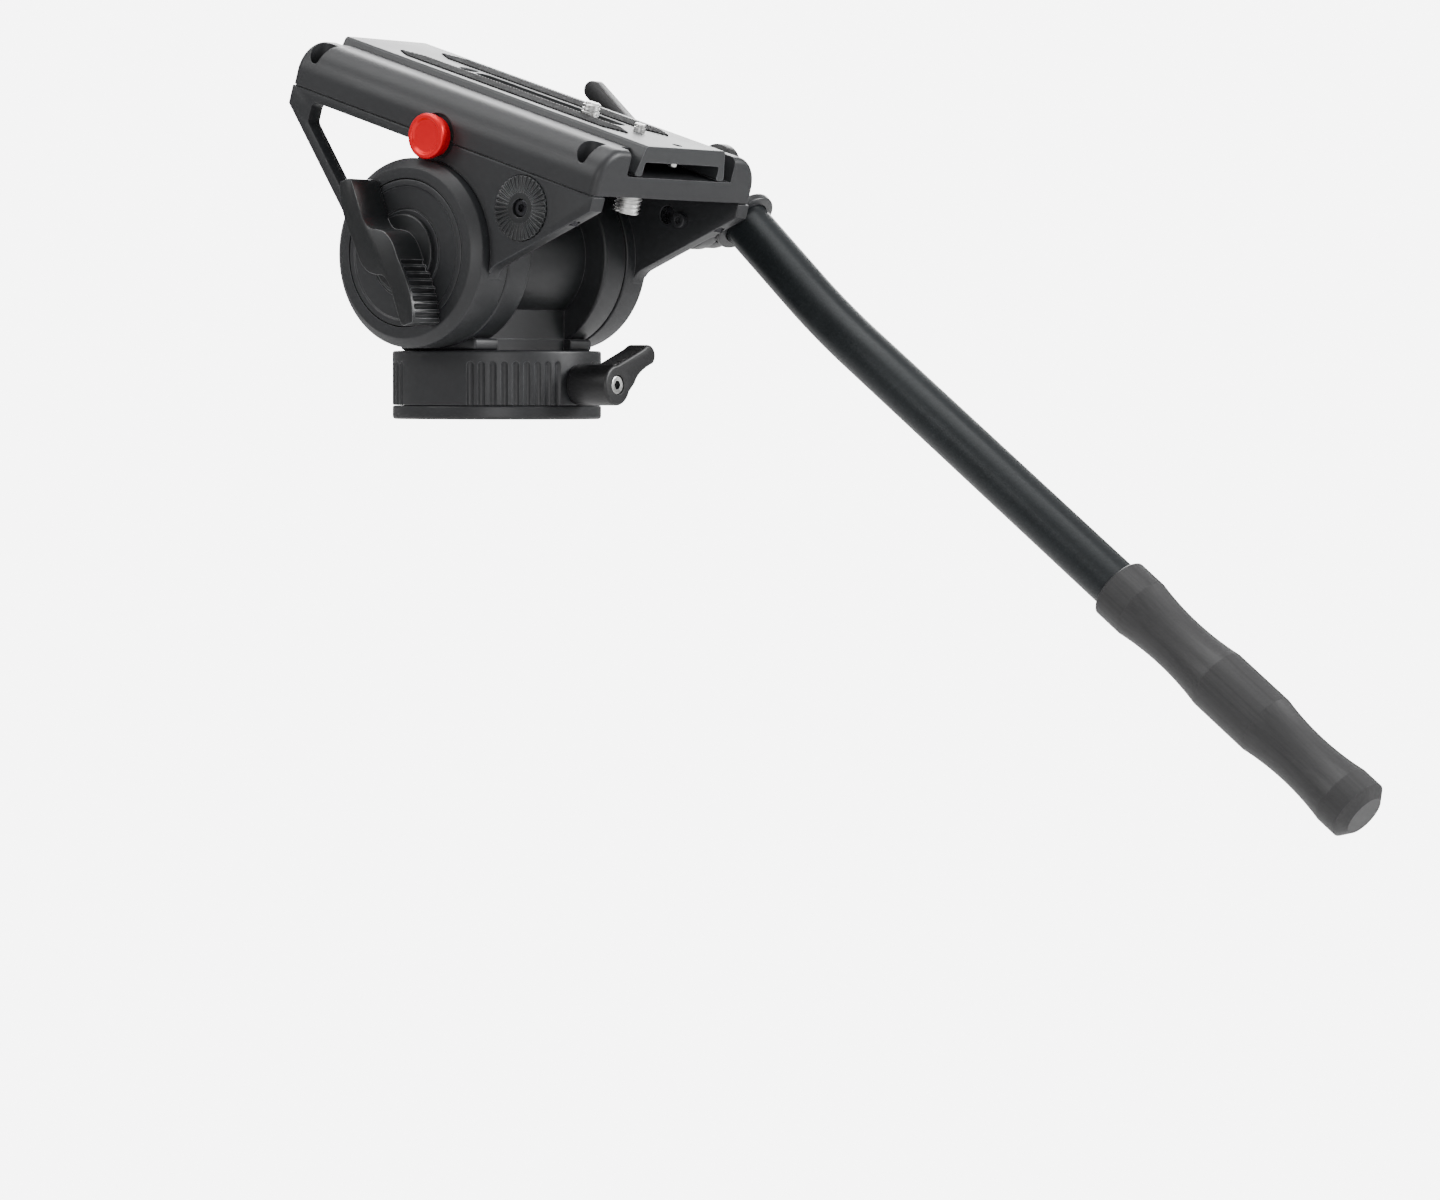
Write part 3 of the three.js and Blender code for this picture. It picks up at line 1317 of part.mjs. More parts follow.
// Handle bracket: toothed hub, arm, and the sleeve and spigot that hold the tube.
// It is drawn about the rosette's axis with the tube's upper leg along -Y.
function handleBracket() {
  const hubStart = plateOuter + 2 * toothHeight + fitGap;
  const teeth = toothedDisc(hubThickness, 0, handleBoltRadius + fitGap);
  const hub = teeth.rotate([0, -90, 0]).translate([hubStart + hubThickness, 0, 0]);
  const flange = solid(alongX(tubePiece(
    bracketHubRadius, handleBoltRadius + fitGap, hubStart + rosetteSeatDepth, bracketHubEnd,
  )));
  const sleeve = solid(alongRear(rod(sleeveRadius, sleeveStart, sleeveEnd, roundFacets))
    .translate(handlePlane, 0, tubeOffset));
  const arm = solid(alongX(prism(polygon([
    [-sleeveEnd, tubeOffset + sleeveRadius / 2], [-sleeveEnd, tubeOffset - sleeveRadius / 2],
    ...arcPoints(0, 0, bracketHubRadius, -Math.PI * 0.6, Math.PI * 0.3, curveFacets),
    [-sleeveStart, tubeOffset + sleeveRadius / 2],
  ]), bracketHubEnd - bracketArmInner)).translate(bracketArmInner, 0, 0));
  const bolt = solid(alongX(rod(handleBoltRadius + fitGap, 0, handlePlane + sleeveRadius)));
  const socket = solid(alongRear(rod(
    tubeRadius + fitGap, tubeStart - fitGap, sleeveEnd + cutOverrun, roundFacets,
  )).translate(handlePlane, 0, tubeOffset));
  const screwBore = solid(alongX(rod(
    sleeveScrewRadius + fitGap, handlePlane, handlePlane + sleeveRadius + cutOverrun,
  )).translate(0, -(tubeStart + sleeveEnd) / 2, tubeOffset));
  const spigot = solid(alongRear(rod(
    tubeRadius - tubeWall - fitGap, sleeveStart, spigotEnd, roundFacets,
  )).translate(handlePlane, 0, tubeOffset));
  const body = joined(cut(joined(hub, flange, sleeve, arm), bolt, socket, screwBore), spigot);
  return piece('handle_bracket', body, 'cover');
}

// Set screw through the sleeve, which keeps the tube from turning
function handleSetScrew() {
  const length = sleeveRadius - tubeRadius - fitGap;
  const mesh = piece('handle_set_screw', socketScrew(
    sleeveScrewRadius, length / 2, sleeveScrewRadius, length,
  ), 'darkSteel');
  mesh.rotation.y = Math.PI / 2;
  return placed(mesh, handlePlane + sleeveRadius, -(tubeStart + sleeveEnd) / 2, tubeOffset);
}

// Corner points of the tube's centre line, and the way its lower leg runs
function handlePoints(overrun = 0) {
  const lower = new THREE.Vector3(0, -Math.cos(handleBend), -Math.sin(handleBend));
  const bend = new THREE.Vector3(handlePlane, -bendReach, tubeOffset);
  const start = new THREE.Vector3(handlePlane, overrun - tubeStart, tubeOffset);
  const before = bend.clone().setY(bendSoftness - bendReach);
  const after = bend.clone().addScaledVector(lower, bendSoftness);
  const gripStart = bend.clone().addScaledVector(lower, lowerReach);
  const end = gripStart.clone().addScaledVector(lower, gripLength - gripEndWall - fitGap + overrun);
  return { lower, bend, start, before, after, gripStart, end };
}

// Sweeps a round section along the tube's centre line, stepping closely only round its bend
function sweptTube(radius, overrun) {
  const { bend, start, before, after, end } = handlePoints(overrun);
  const curve = new THREE.QuadraticBezierCurve3(before, bend, after);
  const curved = curve.getPoints(curveFacets);
  const stations = [start, ...curved, end];
  const headings = [
    before.clone().sub(start),
    ...curved.map((point, index) => curve.getTangent(index / curveFacets)),
    end.clone().sub(after),
  ];
  const positions = [];
  const across = new THREE.Vector3(1, 0, 0);
  stations.forEach((station, index) => {
    const up = across.clone().cross(headings[index].normalize());
    for (let side = 0; side < roundFacets; side += 1) {
      const angle = 2 * Math.PI * side / roundFacets;
      const point = station.clone()
        .addScaledVector(across, radius * Math.cos(angle))
        .addScaledVector(up, radius * Math.sin(angle));
      positions.push(point.x, point.y, point.z);
    }
  });
  return sweptSkin(positions, stations.length, roundFacets);
}

function handleTube() {
  const hollow = solid(sweptTube(tubeRadius - tubeWall, cutOverrun));
  return piece('handle_tube', cut(solid(sweptTube(tubeRadius, 0)), hollow), 'tube');
}

// Foam grip: three swellings and two waists, chamfered at its end
function handleGrip() {
  const placeShares = [0, 0.1, 0.17, 0.255, 0.33, 0.41, 0.5, 0.6, 0.7, 0.77, 0.88, 0.98, 1];
  const girthShares = [0.99, 1, 0.93, 0.885, 0.92, 0.99, 1.01, 0.99, 0.9, 0.875, 0.94, 0.98, 0.84];
  const profile = [[tubeRadius + fitGap, 0]];
  placeShares.forEach((share, index) => {
    profile.push([girthShares[index] * gripRadius, share * gripLength]);
  });
  profile.push([0, gripLength], [0, gripLength - gripEndWall]);
  profile.push([tubeRadius + fitGap, gripLength - gripEndWall]);
  const mesh = piece('handle_grip', solid(alongRear(turned(profile, roundFacets))), 'grip');
  const { gripStart } = handlePoints();
  mesh.rotation.x = handleBend;
  return placed(mesh, gripStart.x, gripStart.y, gripStart.z);
}

function handleClampKnob() {
  const start = bracketHubEnd + fitGap;
  const body = solid(alongX(turned([
    [0, start], [handleKnobRadius - ringEdgeRadius, start], [handleKnobRadius, start + ringEdgeRadius],
    [handleKnobRadius, start + handleKnobHeight - ringEdgeRadius],
    [handleKnobRadius - ringEdgeRadius, start + handleKnobHeight], [0, start + handleKnobHeight],
  ], roundFacets)));
  const scallops = [];
  for (let lobe = 0; lobe < handleKnobLobes; lobe += 1) {
    const angle = 2 * Math.PI * lobe / handleKnobLobes;
    const distance = handleKnobRadius + handleKnobScallop / 2;
    scallops.push(solid(alongX(
      rod(handleKnobScallop, start - cutOverrun, start + handleKnobHeight + cutOverrun)
        .translate(distance * Math.cos(angle), distance * Math.sin(angle), 0),
    )));
  }
  const boreEnd = start + handleKnobHeight / 2;
  const bore = solid(alongX(rod(handleBoltRadius + fitGap, start - cutOverrun, boreEnd)));
  return piece('handle_clamp_knob', cut(body, ...scallops, bore), 'lever');
}

function handleBolt() {
  const end = bracketHubEnd + handleKnobHeight / 2;
  return piece('handle_bolt', solid(alongX(rod(handleBoltRadius, plateInner + fitGap, end))), 'steel');
}

// Everything that tilts is drawn about the tilt axis, and the handle about the rosette's axis
const pan = new THREE.Group();
pan.add(
  panRing(), panThrustWasher(), panBrakeShoe(), ...yokeScrews(),
  panLockLever(), panLockStud(), panLockScrew(),
);
const yokeGroup = new THREE.Group();
yokeGroup.position.z = tiltAxisHeight;
yokeGroup.add(
  yoke(), bearingCarrier(), tiltAxle(), counterbalanceSpring(),
  axleBush('axle_bush_left', -cheekOuter, -cheekInner + springChamberWall),
  axleBush('axle_bush_right', cheekOuter - carrierThickness, cheekOuter),
  dragDisc('drag_disc_left', -1), dragDisc('drag_disc_right', 1),
);
const knob = new THREE.Group();
knob.position.x = -wingFoot;
knob.rotation.y = -Math.PI / 2;
knob.add(tiltLockKnob(), knobInsert());
yokeGroup.add(knob);

const handle = new THREE.Group();
handle.position.set(0, rosetteForward, rosetteHeight);
handle.rotation.x = handleDrop;
handle.add(
  handleBracket(), handleSetScrew(), handleTube(), handleGrip(), handleClampKnob(), handleBolt(),
);

const tilt = new THREE.Group();
tilt.position.z = tiltAxisHeight;
tilt.rotation.x = restTilt;
tilt.add(
  channelBody(), ...bodyScrews(),
  sidePlate('side_plate_left', -1, bossFaceLeft), sidePlate('side_plate_right', 1, bossFaceRight),
  dragCover('drag_cover_left', -1, bossFaceLeft, axleRadius + fitGap),
  closedCover('drag_cover_right', 1, bossFaceRight),
  rosette('rosette_left', -1), rosette('rosette_right', 1), rosettePlug(),
  rosetteScrew('rosette_screw_left', -1), rosetteScrew('rosette_screw_right', 1),
  clampJaw(), plateLever(), plateLeverBolt(), safetyButton(), safetyCatch(), buttonSpring(),
  cameraPlate(), gripStrip('grip_strip_left', -1), gripStrip('grip_strip_right', 1),
  stopScrew('plate_stop_screw_front', stopScrewFront), stopScrew('plate_stop_screw_rear', stopScrewRear),
  cameraScrew(), cameraScrewWasher(), videoPin(), spareScrew(), handle,
);

const head = new THREE.Group();
head.add(baseFlange(), tripodThreadBush(), panRetainingNut(), panDragDisc(), pan, yokeGroup, tilt);
export default head;
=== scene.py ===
import json
from math import asin, atan2, cos, degrees, hypot, pi, radians, sin, sqrt, tan

import bmesh
import bpy
from mathutils import Matrix, Vector


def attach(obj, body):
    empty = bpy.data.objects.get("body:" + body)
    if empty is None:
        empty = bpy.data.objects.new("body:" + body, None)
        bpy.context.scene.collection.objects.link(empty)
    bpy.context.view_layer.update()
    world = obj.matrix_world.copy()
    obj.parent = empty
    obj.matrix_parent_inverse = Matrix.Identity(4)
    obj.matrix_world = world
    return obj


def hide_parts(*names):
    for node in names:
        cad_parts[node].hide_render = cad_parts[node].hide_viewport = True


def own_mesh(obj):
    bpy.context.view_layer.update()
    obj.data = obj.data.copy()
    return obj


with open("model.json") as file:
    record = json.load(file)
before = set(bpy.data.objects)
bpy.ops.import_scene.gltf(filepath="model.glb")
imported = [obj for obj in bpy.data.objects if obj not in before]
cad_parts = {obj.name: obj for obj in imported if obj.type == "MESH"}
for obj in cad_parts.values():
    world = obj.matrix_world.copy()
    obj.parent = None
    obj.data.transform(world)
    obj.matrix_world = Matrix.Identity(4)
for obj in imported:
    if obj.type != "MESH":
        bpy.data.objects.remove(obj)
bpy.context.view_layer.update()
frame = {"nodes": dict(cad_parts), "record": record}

# Camera: a long lens a little behind the head's left side, just above the height of the base.
# It looks down by a few degrees, so that the handle's grip fits in the lower right corner.
camera_place = (-1.3432, -1.1185, 0.0127)
camera_heading = radians(37.148)
camera_pitch = radians(2.552)
camera_roll = radians(0.088)


def stood(name, data):
    """Stands a new object in the scene."""
    thing = bpy.data.objects.new(name, data)
    bpy.context.scene.collection.objects.link(thing)
    return thing


def facing(place, direction):
    """The place of a camera or lamp that looks along a direction."""
    return Matrix.Translation(place) @ Vector(direction).to_track_quat("-Z", "Y").to_matrix().to_4x4()


camera_data = bpy.data.cameras.new("studio_camera")
camera_data.lens = 121.13
camera_data.sensor_width = 36
camera_data.clip_start = 0.05
camera_data.clip_end = 60
camera = stood("studio_camera", camera_data)
camera.matrix_world = facing(camera_place, (
    cos(camera_heading) * cos(camera_pitch), sin(camera_heading) * cos(camera_pitch), -sin(camera_pitch),
)) @ Matrix.Rotation(camera_roll, 4, "Z")
bpy.context.scene.camera = camera

# Studio: a pale seamless floor that curves up into a wall all round, below the hanging handle.
# Softboxes stand to the left, the right, the back and overhead, as round a small product table.
floor_height = -0.45
floor_reach = 3.2
wall_radius = 1.4
wall_height = 3.4
paper_glow = 7
room_light = 0.55
softboxes = {
    # name: (place, aimed at, width, height, watts), in metres
    "left_softbox": ((-1.5, 0.9, 1.1), (0, 0, 0.07), 0.8, 0.8, 12),
    "right_softbox": ((0.9, -1.5, 0.75), (0, -0.05, 0.04), 0.8, 0.8, 40),
    "overhead_softbox": ((-0.2, 0.1, 1.7), (0, 0, 0.05), 1.3, 1.3, 20),
    "low_softbox": ((-1.4, -1.2, 0.1), (0, 0, 0.02), 0.7, 0.5, 8),
    "back_softbox": ((1.5, 1.1, 0.9), (0, 0, 0.08), 1.4, 1.2, 48),
}


def arc(centre_x, centre_y, radius, start, end, steps=10):
    """Points along an arc, angles in degrees."""
    turns = [radians(start + (end - start) * step / steps) for step in range(steps + 1)]
    return [(centre_x + radius * cos(turn), centre_y + radius * sin(turn)) for turn in turns]


def facing_out(body):
    bmesh.ops.recalc_face_normals(body, faces=body.faces)
    return body


def turned_body(profile, steps=144):
    """Spins (radius, height) points round Z into a closed skin."""
    body = bmesh.new()
    line = [body.verts.new((radius, 0, height)) for radius, height in profile]
    if profile[0][0] > 0:
        line.append(line[0])
    edges = [body.edges.new(pair) for pair in zip(line, line[1:])]
    bmesh.ops.spin(
        body, geom=list(dict.fromkeys(line)) + edges,
        cent=(0, 0, 0), axis=(0, 0, 1), angle=2 * pi, steps=steps, use_merge=True,
    )
    bmesh.ops.remove_doubles(body, verts=body.verts, dist=0.0005)
    return facing_out(body)


def moved(body, matrix):
    bmesh.ops.transform(body, matrix=matrix, verts=body.verts)
    return body


def shift(x, y, z):
    return Matrix.Translation((x, y, z))


def new_finish(name):
    """An empty material with its node tree and its shader."""
    material = bpy.data.materials.new(name)
    material.use_nodes = True
    return material, material.node_tree, material.node_tree.nodes["Principled BSDF"]


def fed(tree, node, inputs):
    """Gives each input of a node its value, or the output that feeds it."""
    for key, value in inputs.items():
        if isinstance(value, bpy.types.NodeSocket):
            tree.links.new(value, node.inputs[key])
        else:
            node.inputs[key].default_value = value
    return node.outputs


def wired(tree, kind, inputs=None, **settings):
    """Adds a shader node, sets it up and feeds it."""
    node = tree.nodes.new("ShaderNode" + kind)
    for key, value in settings.items():
        setattr(node, key, value)
    return fed(tree, node, inputs or {})


paper, paper_tree, paper_shader = new_finish("seamless_paper")
fed(paper_tree, paper_shader, {"Base Color": (0.6, 0.6, 0.6, 1), "Roughness": 0.9})
fed(paper_tree, paper_tree.nodes["Material Output"], {"Surface": wired(paper_tree, "MixShader", {
    "Fac": wired(paper_tree, "LightPath")["Is Camera Ray"], 1: paper_shader.outputs["BSDF"],
    2: wired(paper_tree, "Emission", {"Color": (1, 1, 1, 1), "Strength": paper_glow})["Emission"],
})["Shader"]})
sweep = moved(turned_body([
    (0, 0), *arc(floor_reach, wall_radius, wall_radius, -90, 0, 12), (floor_reach + wall_radius, wall_height),
], 64), shift(0, 0, floor_height))
floor_data = bpy.data.meshes.new("studio_floor")
sweep.to_mesh(floor_data)
sweep.free()
floor_data.shade_smooth()
floor_data.materials.append(paper)
stood("studio_floor", floor_data)
for box_name, (place, aim, width, height, watts) in softboxes.items():
    lamp = bpy.data.lights.new(box_name, "AREA")
    lamp.shape = "RECTANGLE"
    lamp.size = width
    lamp.size_y = height
    lamp.energy = watts
    stood(box_name, lamp).matrix_world = facing(place, Vector(aim) - Vector(place))
room = bpy.data.worlds.new("white_room")
room.use_nodes = True
fed(room.node_tree, room.node_tree.nodes["Background"], {"Color": (1, 1, 1, 1), "Strength": room_light})
bpy.context.scene.world = room

# Base flange: a turned aluminium disc, anodised black, with a rounded lower edge.
# It screws down on the tripod, and its spindle, hidden in the ring, carries all that turns.
base_radius = 37.5
flange_height = 4.2
rim_top = 4.85
flange_edge = 1.1
spindle_radius = 13
spindle_shoulder = 17.5
neck_radius = 9
neck_top = 24.2
lip_radius = 30.7
lip_wall = 0.4
lip_top = 5.9
bush_seat_radius = 7.3
bush_seat_depth = 12.3
gap = 0.3


def low_round(radius, height, size, steps):
    """The rounded lower rim of a turned shape."""
    return arc(radius - size, height + size, size, -90, 0, steps)


def high_round(radius, height, size, steps):
    """The rounded upper rim of a turned shape."""
    return arc(radius - size, height - size, size, 0, 90, steps)


def round_disc(radius, bottom, top, low, high, steps=96):
    """A turned disc with rounded rims, each given by its size and its steps."""
    return turned_body([
        (0, bottom), *low_round(radius, bottom, *low), *high_round(radius, top, *high), (0, top),
    ], steps)


def fitted(name, shape, material, body, slot, *nodes, sharp=32):
    """Makes a piece in metres of a shape in millimetres; it rides on a body and stands for its CAD nodes."""
    moved(shape, Matrix.Scale(0.001, 4))
    data = bpy.data.meshes.new(name)
    shape.to_mesh(data)
    shape.free()
    data.shade_smooth()
    data.set_sharp_from_angle(angle=radians(sharp))
    data.materials.append(material)
    piece = stood(name, data)
    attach(piece, body)
    if nodes:
        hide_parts(*nodes)
    return piece


def node_group(name, inputs, outputs):
    """An empty shader group with named sockets, given as {name: default} and {name: kind}."""
    group = bpy.data.node_groups.new(name, "ShaderNodeTree")
    for label, default in inputs.items():
        kind = "Color" if isinstance(default, tuple) else "Float"
        group.interface.new_socket(label, in_out="INPUT", socket_type="NodeSocket" + kind).default_value = default
    for label, kind in outputs.items():
        group.interface.new_socket(label, in_out="OUTPUT", socket_type="NodeSocket" + kind)
    return group, group.nodes.new("NodeGroupInput").outputs, group.nodes.new("NodeGroupOutput")


def maths(tree, operation, first, second, **settings):
    return wired(tree, "Math", {0: first, 1: second}, operation=operation, **settings)[0]


def noise(tree, scale, detail, roughness=0.5, place=None):
    """Cloudy noise in the piece's own place, or in a place that is given."""
    place = place or wired(tree, "TexCoord")["Object"]
    return wired(tree, "TexNoise", {"Vector": place, "Scale": scale, "Detail": detail, "Roughness": roughness})["Fac"]


def ranged(tree, value, from_min, from_max, to_min, to_max):
    """Stretches a value from one range to another."""
    return wired(tree, "MapRange", {
        "Value": value, "From Min": from_min, "From Max": from_max, "To Min": to_min, "To Max": to_max,
    })["Result"]


def shaded(tree, tone, brightness):
    """A tone made lighter and darker by a value round one."""
    return wired(tree, "HueSaturation", {"Color": tone, "Value": brightness})["Color"]


# Blasted grain: the fine, even pits that bead blasting leaves under the black anodising,
# with a faint cloudiness from handling. It gives a tone, a roughness and a bump height.
grain, grain_in, grain_out = node_group("blasted_grain", {
    "Grain size": 0.35, "Cloudiness": 0.12, "Tone": (0.02, 0.021, 0.023, 1), "Roughness": 0.45,
}, {"Color": "Color", "Roughness": "Float", "Height": "Float"})
grain_pits = noise(grain, maths(grain, "DIVIDE", 1000.0, grain_in["Grain size"]), 3.0, 0.6)
grain_clouds = maths(grain, "SUBTRACT", noise(grain, 38.0, 4.0, 0.55), 0.5)
grain_clouds = maths(grain, "MULTIPLY", grain_clouds, grain_in["Cloudiness"])
grain_speckle = maths(grain, "MULTIPLY", maths(grain, "SUBTRACT", grain_pits, 0.5), 0.35)
grain_bright = maths(grain, "ADD", maths(grain, "ADD", grain_clouds, grain_speckle), 1.0)
grain_rough = maths(grain, "MULTIPLY", grain_clouds, 0.8)
fed(grain, grain_out, {
    "Color": shaded(grain, grain_in["Tone"], grain_bright), "Height": grain_pits,
    "Roughness": maths(grain, "ADD", grain_rough, grain_in["Roughness"], use_clamp=True),
})

# Edges: a mask of the outer edges, where hands and cases rub the black coat thin; the lighter colour laid there is
# partly that wear and partly a painted highlight.
worn_highlit_edges, worn_highlit_edges_in, worn_highlit_edges_out = node_group("worn_and_highlit_edges", {"Width": 0.0004, "Patchiness": 60.0},
                                  {"Mask": "Float", "Normal": "Vector"})
edge_round_normal = wired(worn_highlit_edges, "Bevel", {"Radius": worn_highlit_edges_in["Width"]}, samples=6)["Normal"]
edge_true_normal = wired(worn_highlit_edges, "NewGeometry")["Normal"]
edge_likeness = wired(worn_highlit_edges, "VectorMath", {0: edge_round_normal, 1: edge_true_normal}, operation="DOT_PRODUCT")["Value"]
wear_and_highlight_patches = ranged(worn_highlit_edges, noise(worn_highlit_edges, worn_highlit_edges_in["Patchiness"], 4.0, 0.6), 0.42, 0.62, 0.15, 1.0)
fed(worn_highlit_edges, worn_highlit_edges_out, {"Normal": edge_round_normal, "Mask": maths(
    worn_highlit_edges, "MULTIPLY", ranged(worn_highlit_edges, edge_likeness, 0.999, 0.9, 0.0, 1.0), wear_and_highlight_patches, use_clamp=True,
)})


def grained(tree, tone, size=0.35, cloud=0.12, roughness=0.45):
    return wired(tree, "Group", {
        "Grain size": size, "Cloudiness": cloud, "Tone": (*tone, 1), "Roughness": roughness,
    }, node_tree=grain)


def bumped(tree, height, strength, depth, **normal):
    """The normal of a bumpy surface, its depth in millimetres."""
    return wired(tree, "Bump", {"Height": height, "Strength": strength, "Distance": depth * 0.001, **normal})["Normal"]


def coated_metal(name, tone, edge_wear_and_highlight, roughness=0.45, metallic=0.0, grain_size=0.35, depth=0.02, cloud=0.12):
    """Black coat on metal: blasted grain, a little cloudiness, and lighter edges that are partly rubbed wear and partly
    painted highlight.
    """
    material, tree, shader = new_finish(name)
    surface = grained(tree, tone, grain_size, cloud, roughness)
    edges = wired(tree, "Group", {"Width": 0.0004}, node_tree=worn_highlit_edges)
    fed(tree, shader, {
        "Base Color": wired(tree, "MixRGB", {
            "Fac": edges["Mask"], "Color1": surface["Color"], "Color2": (*edge_wear_and_highlight, 1),
        })["Color"],
        "Roughness": surface["Roughness"], "Metallic": metallic,
        "Normal": bumped(tree, surface["Height"], 0.35, depth, Normal=edges["Normal"]),
    })
    return material


black_casting = coated_metal("black_casting", (0.020, 0.021, 0.023), (0.10, 0.105, 0.11))
flange = turned_body([
    (bush_seat_radius, 0), *low_round(base_radius, 0, flange_edge, 8),
    *high_round(base_radius, rim_top, flange_edge / 2, 6),
    (lip_radius, rim_top), (lip_radius, lip_top), (lip_radius - lip_wall, lip_top),
    (lip_radius - lip_wall, flange_height), (spindle_radius, flange_height), (spindle_radius, spindle_shoulder),
    (neck_radius, spindle_shoulder), (neck_radius, neck_top), (neck_radius / 2, neck_top),
    (neck_radius / 2, bush_seat_depth), (bush_seat_radius, bush_seat_depth),
], 180)
fitted("base_flange_turned", flange, black_casting, "base", "housing", "base_flange")

# Tripod thread bush: a brass sleeve pressed into the base, tapped with a coarse 3/8 inch thread.
# The tap is cut as a real screw thread, and the bush's mouth is countersunk so that the stud finds it.
bush_radius = 7
bush_depth = 12
tap_crest = 4.76
tap_core = 3.95
tap_pitch = 1.5875
bush_mouth = 0.6


def threaded_rod(core, crest, pitch, bottom, top, steps=48):
    """A screw thread: a ridged profile is spun, then each column of it is lifted by its turn."""
    body = bmesh.new()
    profile = []
    height = bottom - 2 * pitch
    while height < top + 2 * pitch:
        profile += [(core, height), (core, height + pitch * 0.15), (crest, height + pitch * 0.5),
                    (crest, height + pitch * 0.62)]
        height += pitch
    line = [body.verts.new((radius, 0, place)) for radius, place in profile]
    edges = [body.edges.new(pair) for pair in zip(line, line[1:])]
    bmesh.ops.spin(
        body, geom=line + edges, cent=(0, 0, 0), axis=(0, 0, 1), angle=2 * pi, steps=steps, use_merge=False,
    )
    seam_start = set(line)
    for vert in body.verts:
        turn = atan2(vert.co.y, vert.co.x) % (2 * pi)
        if vert in seam_start:
            turn = 0
        elif turn < 0.001 or turn > 2 * pi - 0.001:
            turn = 2 * pi
        vert.co.z += pitch * turn / (2 * pi)
    bmesh.ops.remove_doubles(body, verts=body.verts, dist=0.001)
    for height, outwards in ((bottom, -1), (top, 1)):
        bmesh.ops.bisect_plane(
            body, geom=body.verts[:] + body.edges[:] + body.faces[:], dist=0.00001,
            plane_co=(0, 0, height), plane_no=(0, 0, outwards), clear_outer=True,
        )
        bmesh.ops.contextual_create(body, geom=[edge for edge in body.edges if edge.is_boundary and all(
            abs(vert.co.z - height) < 0.001 for vert in edge.verts)])
    return facing_out(body)


def combined(body, tools, operation="DIFFERENCE"):
    """Cuts the tools out of a body, or joins them to it, into one closed skin."""
    things = []
    for shape in (body, *tools):
        data = bpy.data.meshes.new("blank")
        shape.to_mesh(data)
        shape.free()
        things.append(stood("blank", data))
    for tool in things[1:]:
        step = things[0].modifiers.new("step", "BOOLEAN")
        step.operation = operation
        step.solver = "EXACT"
        step.object = tool
    result = bmesh.new()
    result.from_object(things[0], bpy.context.evaluated_depsgraph_get())
    for thing in things:
        data = thing.data
        bpy.data.objects.remove(thing)
        bpy.data.meshes.remove(data)
    bmesh.ops.remove_doubles(result, verts=result.verts, dist=0.0005)
    bmesh.ops.dissolve_degenerate(result, dist=0.0005, edges=result.edges)
    return result


# Turned metal: fine rings left by the lathe, running round the piece, under a blotchy sheen.
lathe, lathe_in, lathe_out = node_group("lathe_rings", {
    "Rings": 900.0, "Tone": (0.5, 0.5, 0.5, 1), "Roughness": 0.3, "Depth": 0.3,
}, {"Color": "Color", "Roughness": "Float", "Height": "Float"})
lathe_wave = wired(lathe, "TexWave", {
    "Vector": wired(lathe, "TexCoord")["Object"], "Scale": lathe_in["Rings"],
    "Distortion": 0.8, "Detail": 3.0, "Detail Scale": 2.0,
}, wave_type="RINGS", rings_direction="Z")["Fac"]
lathe_deep = maths(lathe, "MULTIPLY", maths(lathe, "SUBTRACT", lathe_wave, 0.5), lathe_in["Depth"])
lathe_blots = ranged(lathe, noise(lathe, 160.0, 4.0), 0.3, 0.7, -0.12, 0.12)
lathe_bright = maths(lathe, "ADD", maths(lathe, "ADD", lathe_deep, lathe_blots), 1.0)
fed(lathe, lathe_out, {
    "Color": shaded(lathe, lathe_in["Tone"], lathe_bright), "Height": lathe_wave,
    "Roughness": maths(lathe, "ADD", lathe_blots, lathe_in["Roughness"], use_clamp=True),
})


def turned_metal(name, tone, roughness, metallic=1.0, depth=0.25):
    """Bare or plated metal off the lathe: fine rings, a blotchy sheen and edges that catch light."""
    material, tree, shader = new_finish(name)
    surface = wired(tree, "Group", {"Tone": (*tone, 1), "Roughness": roughness, "Depth": depth}, node_tree=lathe)
    edges = wired(tree, "Group", {"Width": 0.00015}, node_tree=worn_highlit_edges)
    fed(tree, shader, {
        "Base Color": surface["Color"], "Roughness": surface["Roughness"], "Metallic": metallic,
        "Normal": bumped(tree, surface["Height"], 0.2, 0.01, Normal=edges["Normal"]),
    })
    return material


turned_brass = turned_metal("turned_brass", (0.62, 0.43, 0.17), 0.3)
bush = combined(turned_body([
    (0, 0), (bush_radius - bush_mouth / 2, 0), (bush_radius, bush_mouth / 2),
    (bush_radius, bush_depth - gap), (0, bush_depth - gap),
], 72), [
    threaded_rod(tap_core, tap_crest, tap_pitch, -1, bush_depth + 1),
    turned_body([(0, -1), (tap_crest + bush_mouth + 1, -1), (tap_crest, bush_mouth), (0, bush_mouth)], 72),
])
fitted("tripod_thread_bush_tapped", bush, turned_brass, "base", "brass", "tripod_thread_bush")

# Turning ring: a deep die-cast cup that turns on the base, painted black like the whole head.
# Four groups of nine upright grooves give the fingers a hold; each groove ends in a rounded top.
ring_bottom = 5.0
ring_top = 24.5
ring_inner = 31
ring_deck = 18
ring_edge = 0.9
groove_top = 20.9
groove_radius = 1.57
groove_circle = 38.32
groove_pitch = 6.2
grooves_in_group = 9
groove_groups = (50, 130, 230, 310)
pan_lock_height = 12.3
stud_hole_radius = 3.9
yoke_screw_places = ((-25.4, -10), (25.4, -10), (-25.4, 10), (25.4, 10))
yoke_screw_hole = 2.3


def rod(radius, start, end, sides=48):
    """A round bar along Z."""
    body = bmesh.new()
    bmesh.ops.create_cone(
        body, cap_ends=True, segments=sides, radius1=radius, radius2=radius, depth=end - start,
        matrix=shift(0, 0, (start + end) / 2),
    )
    return body


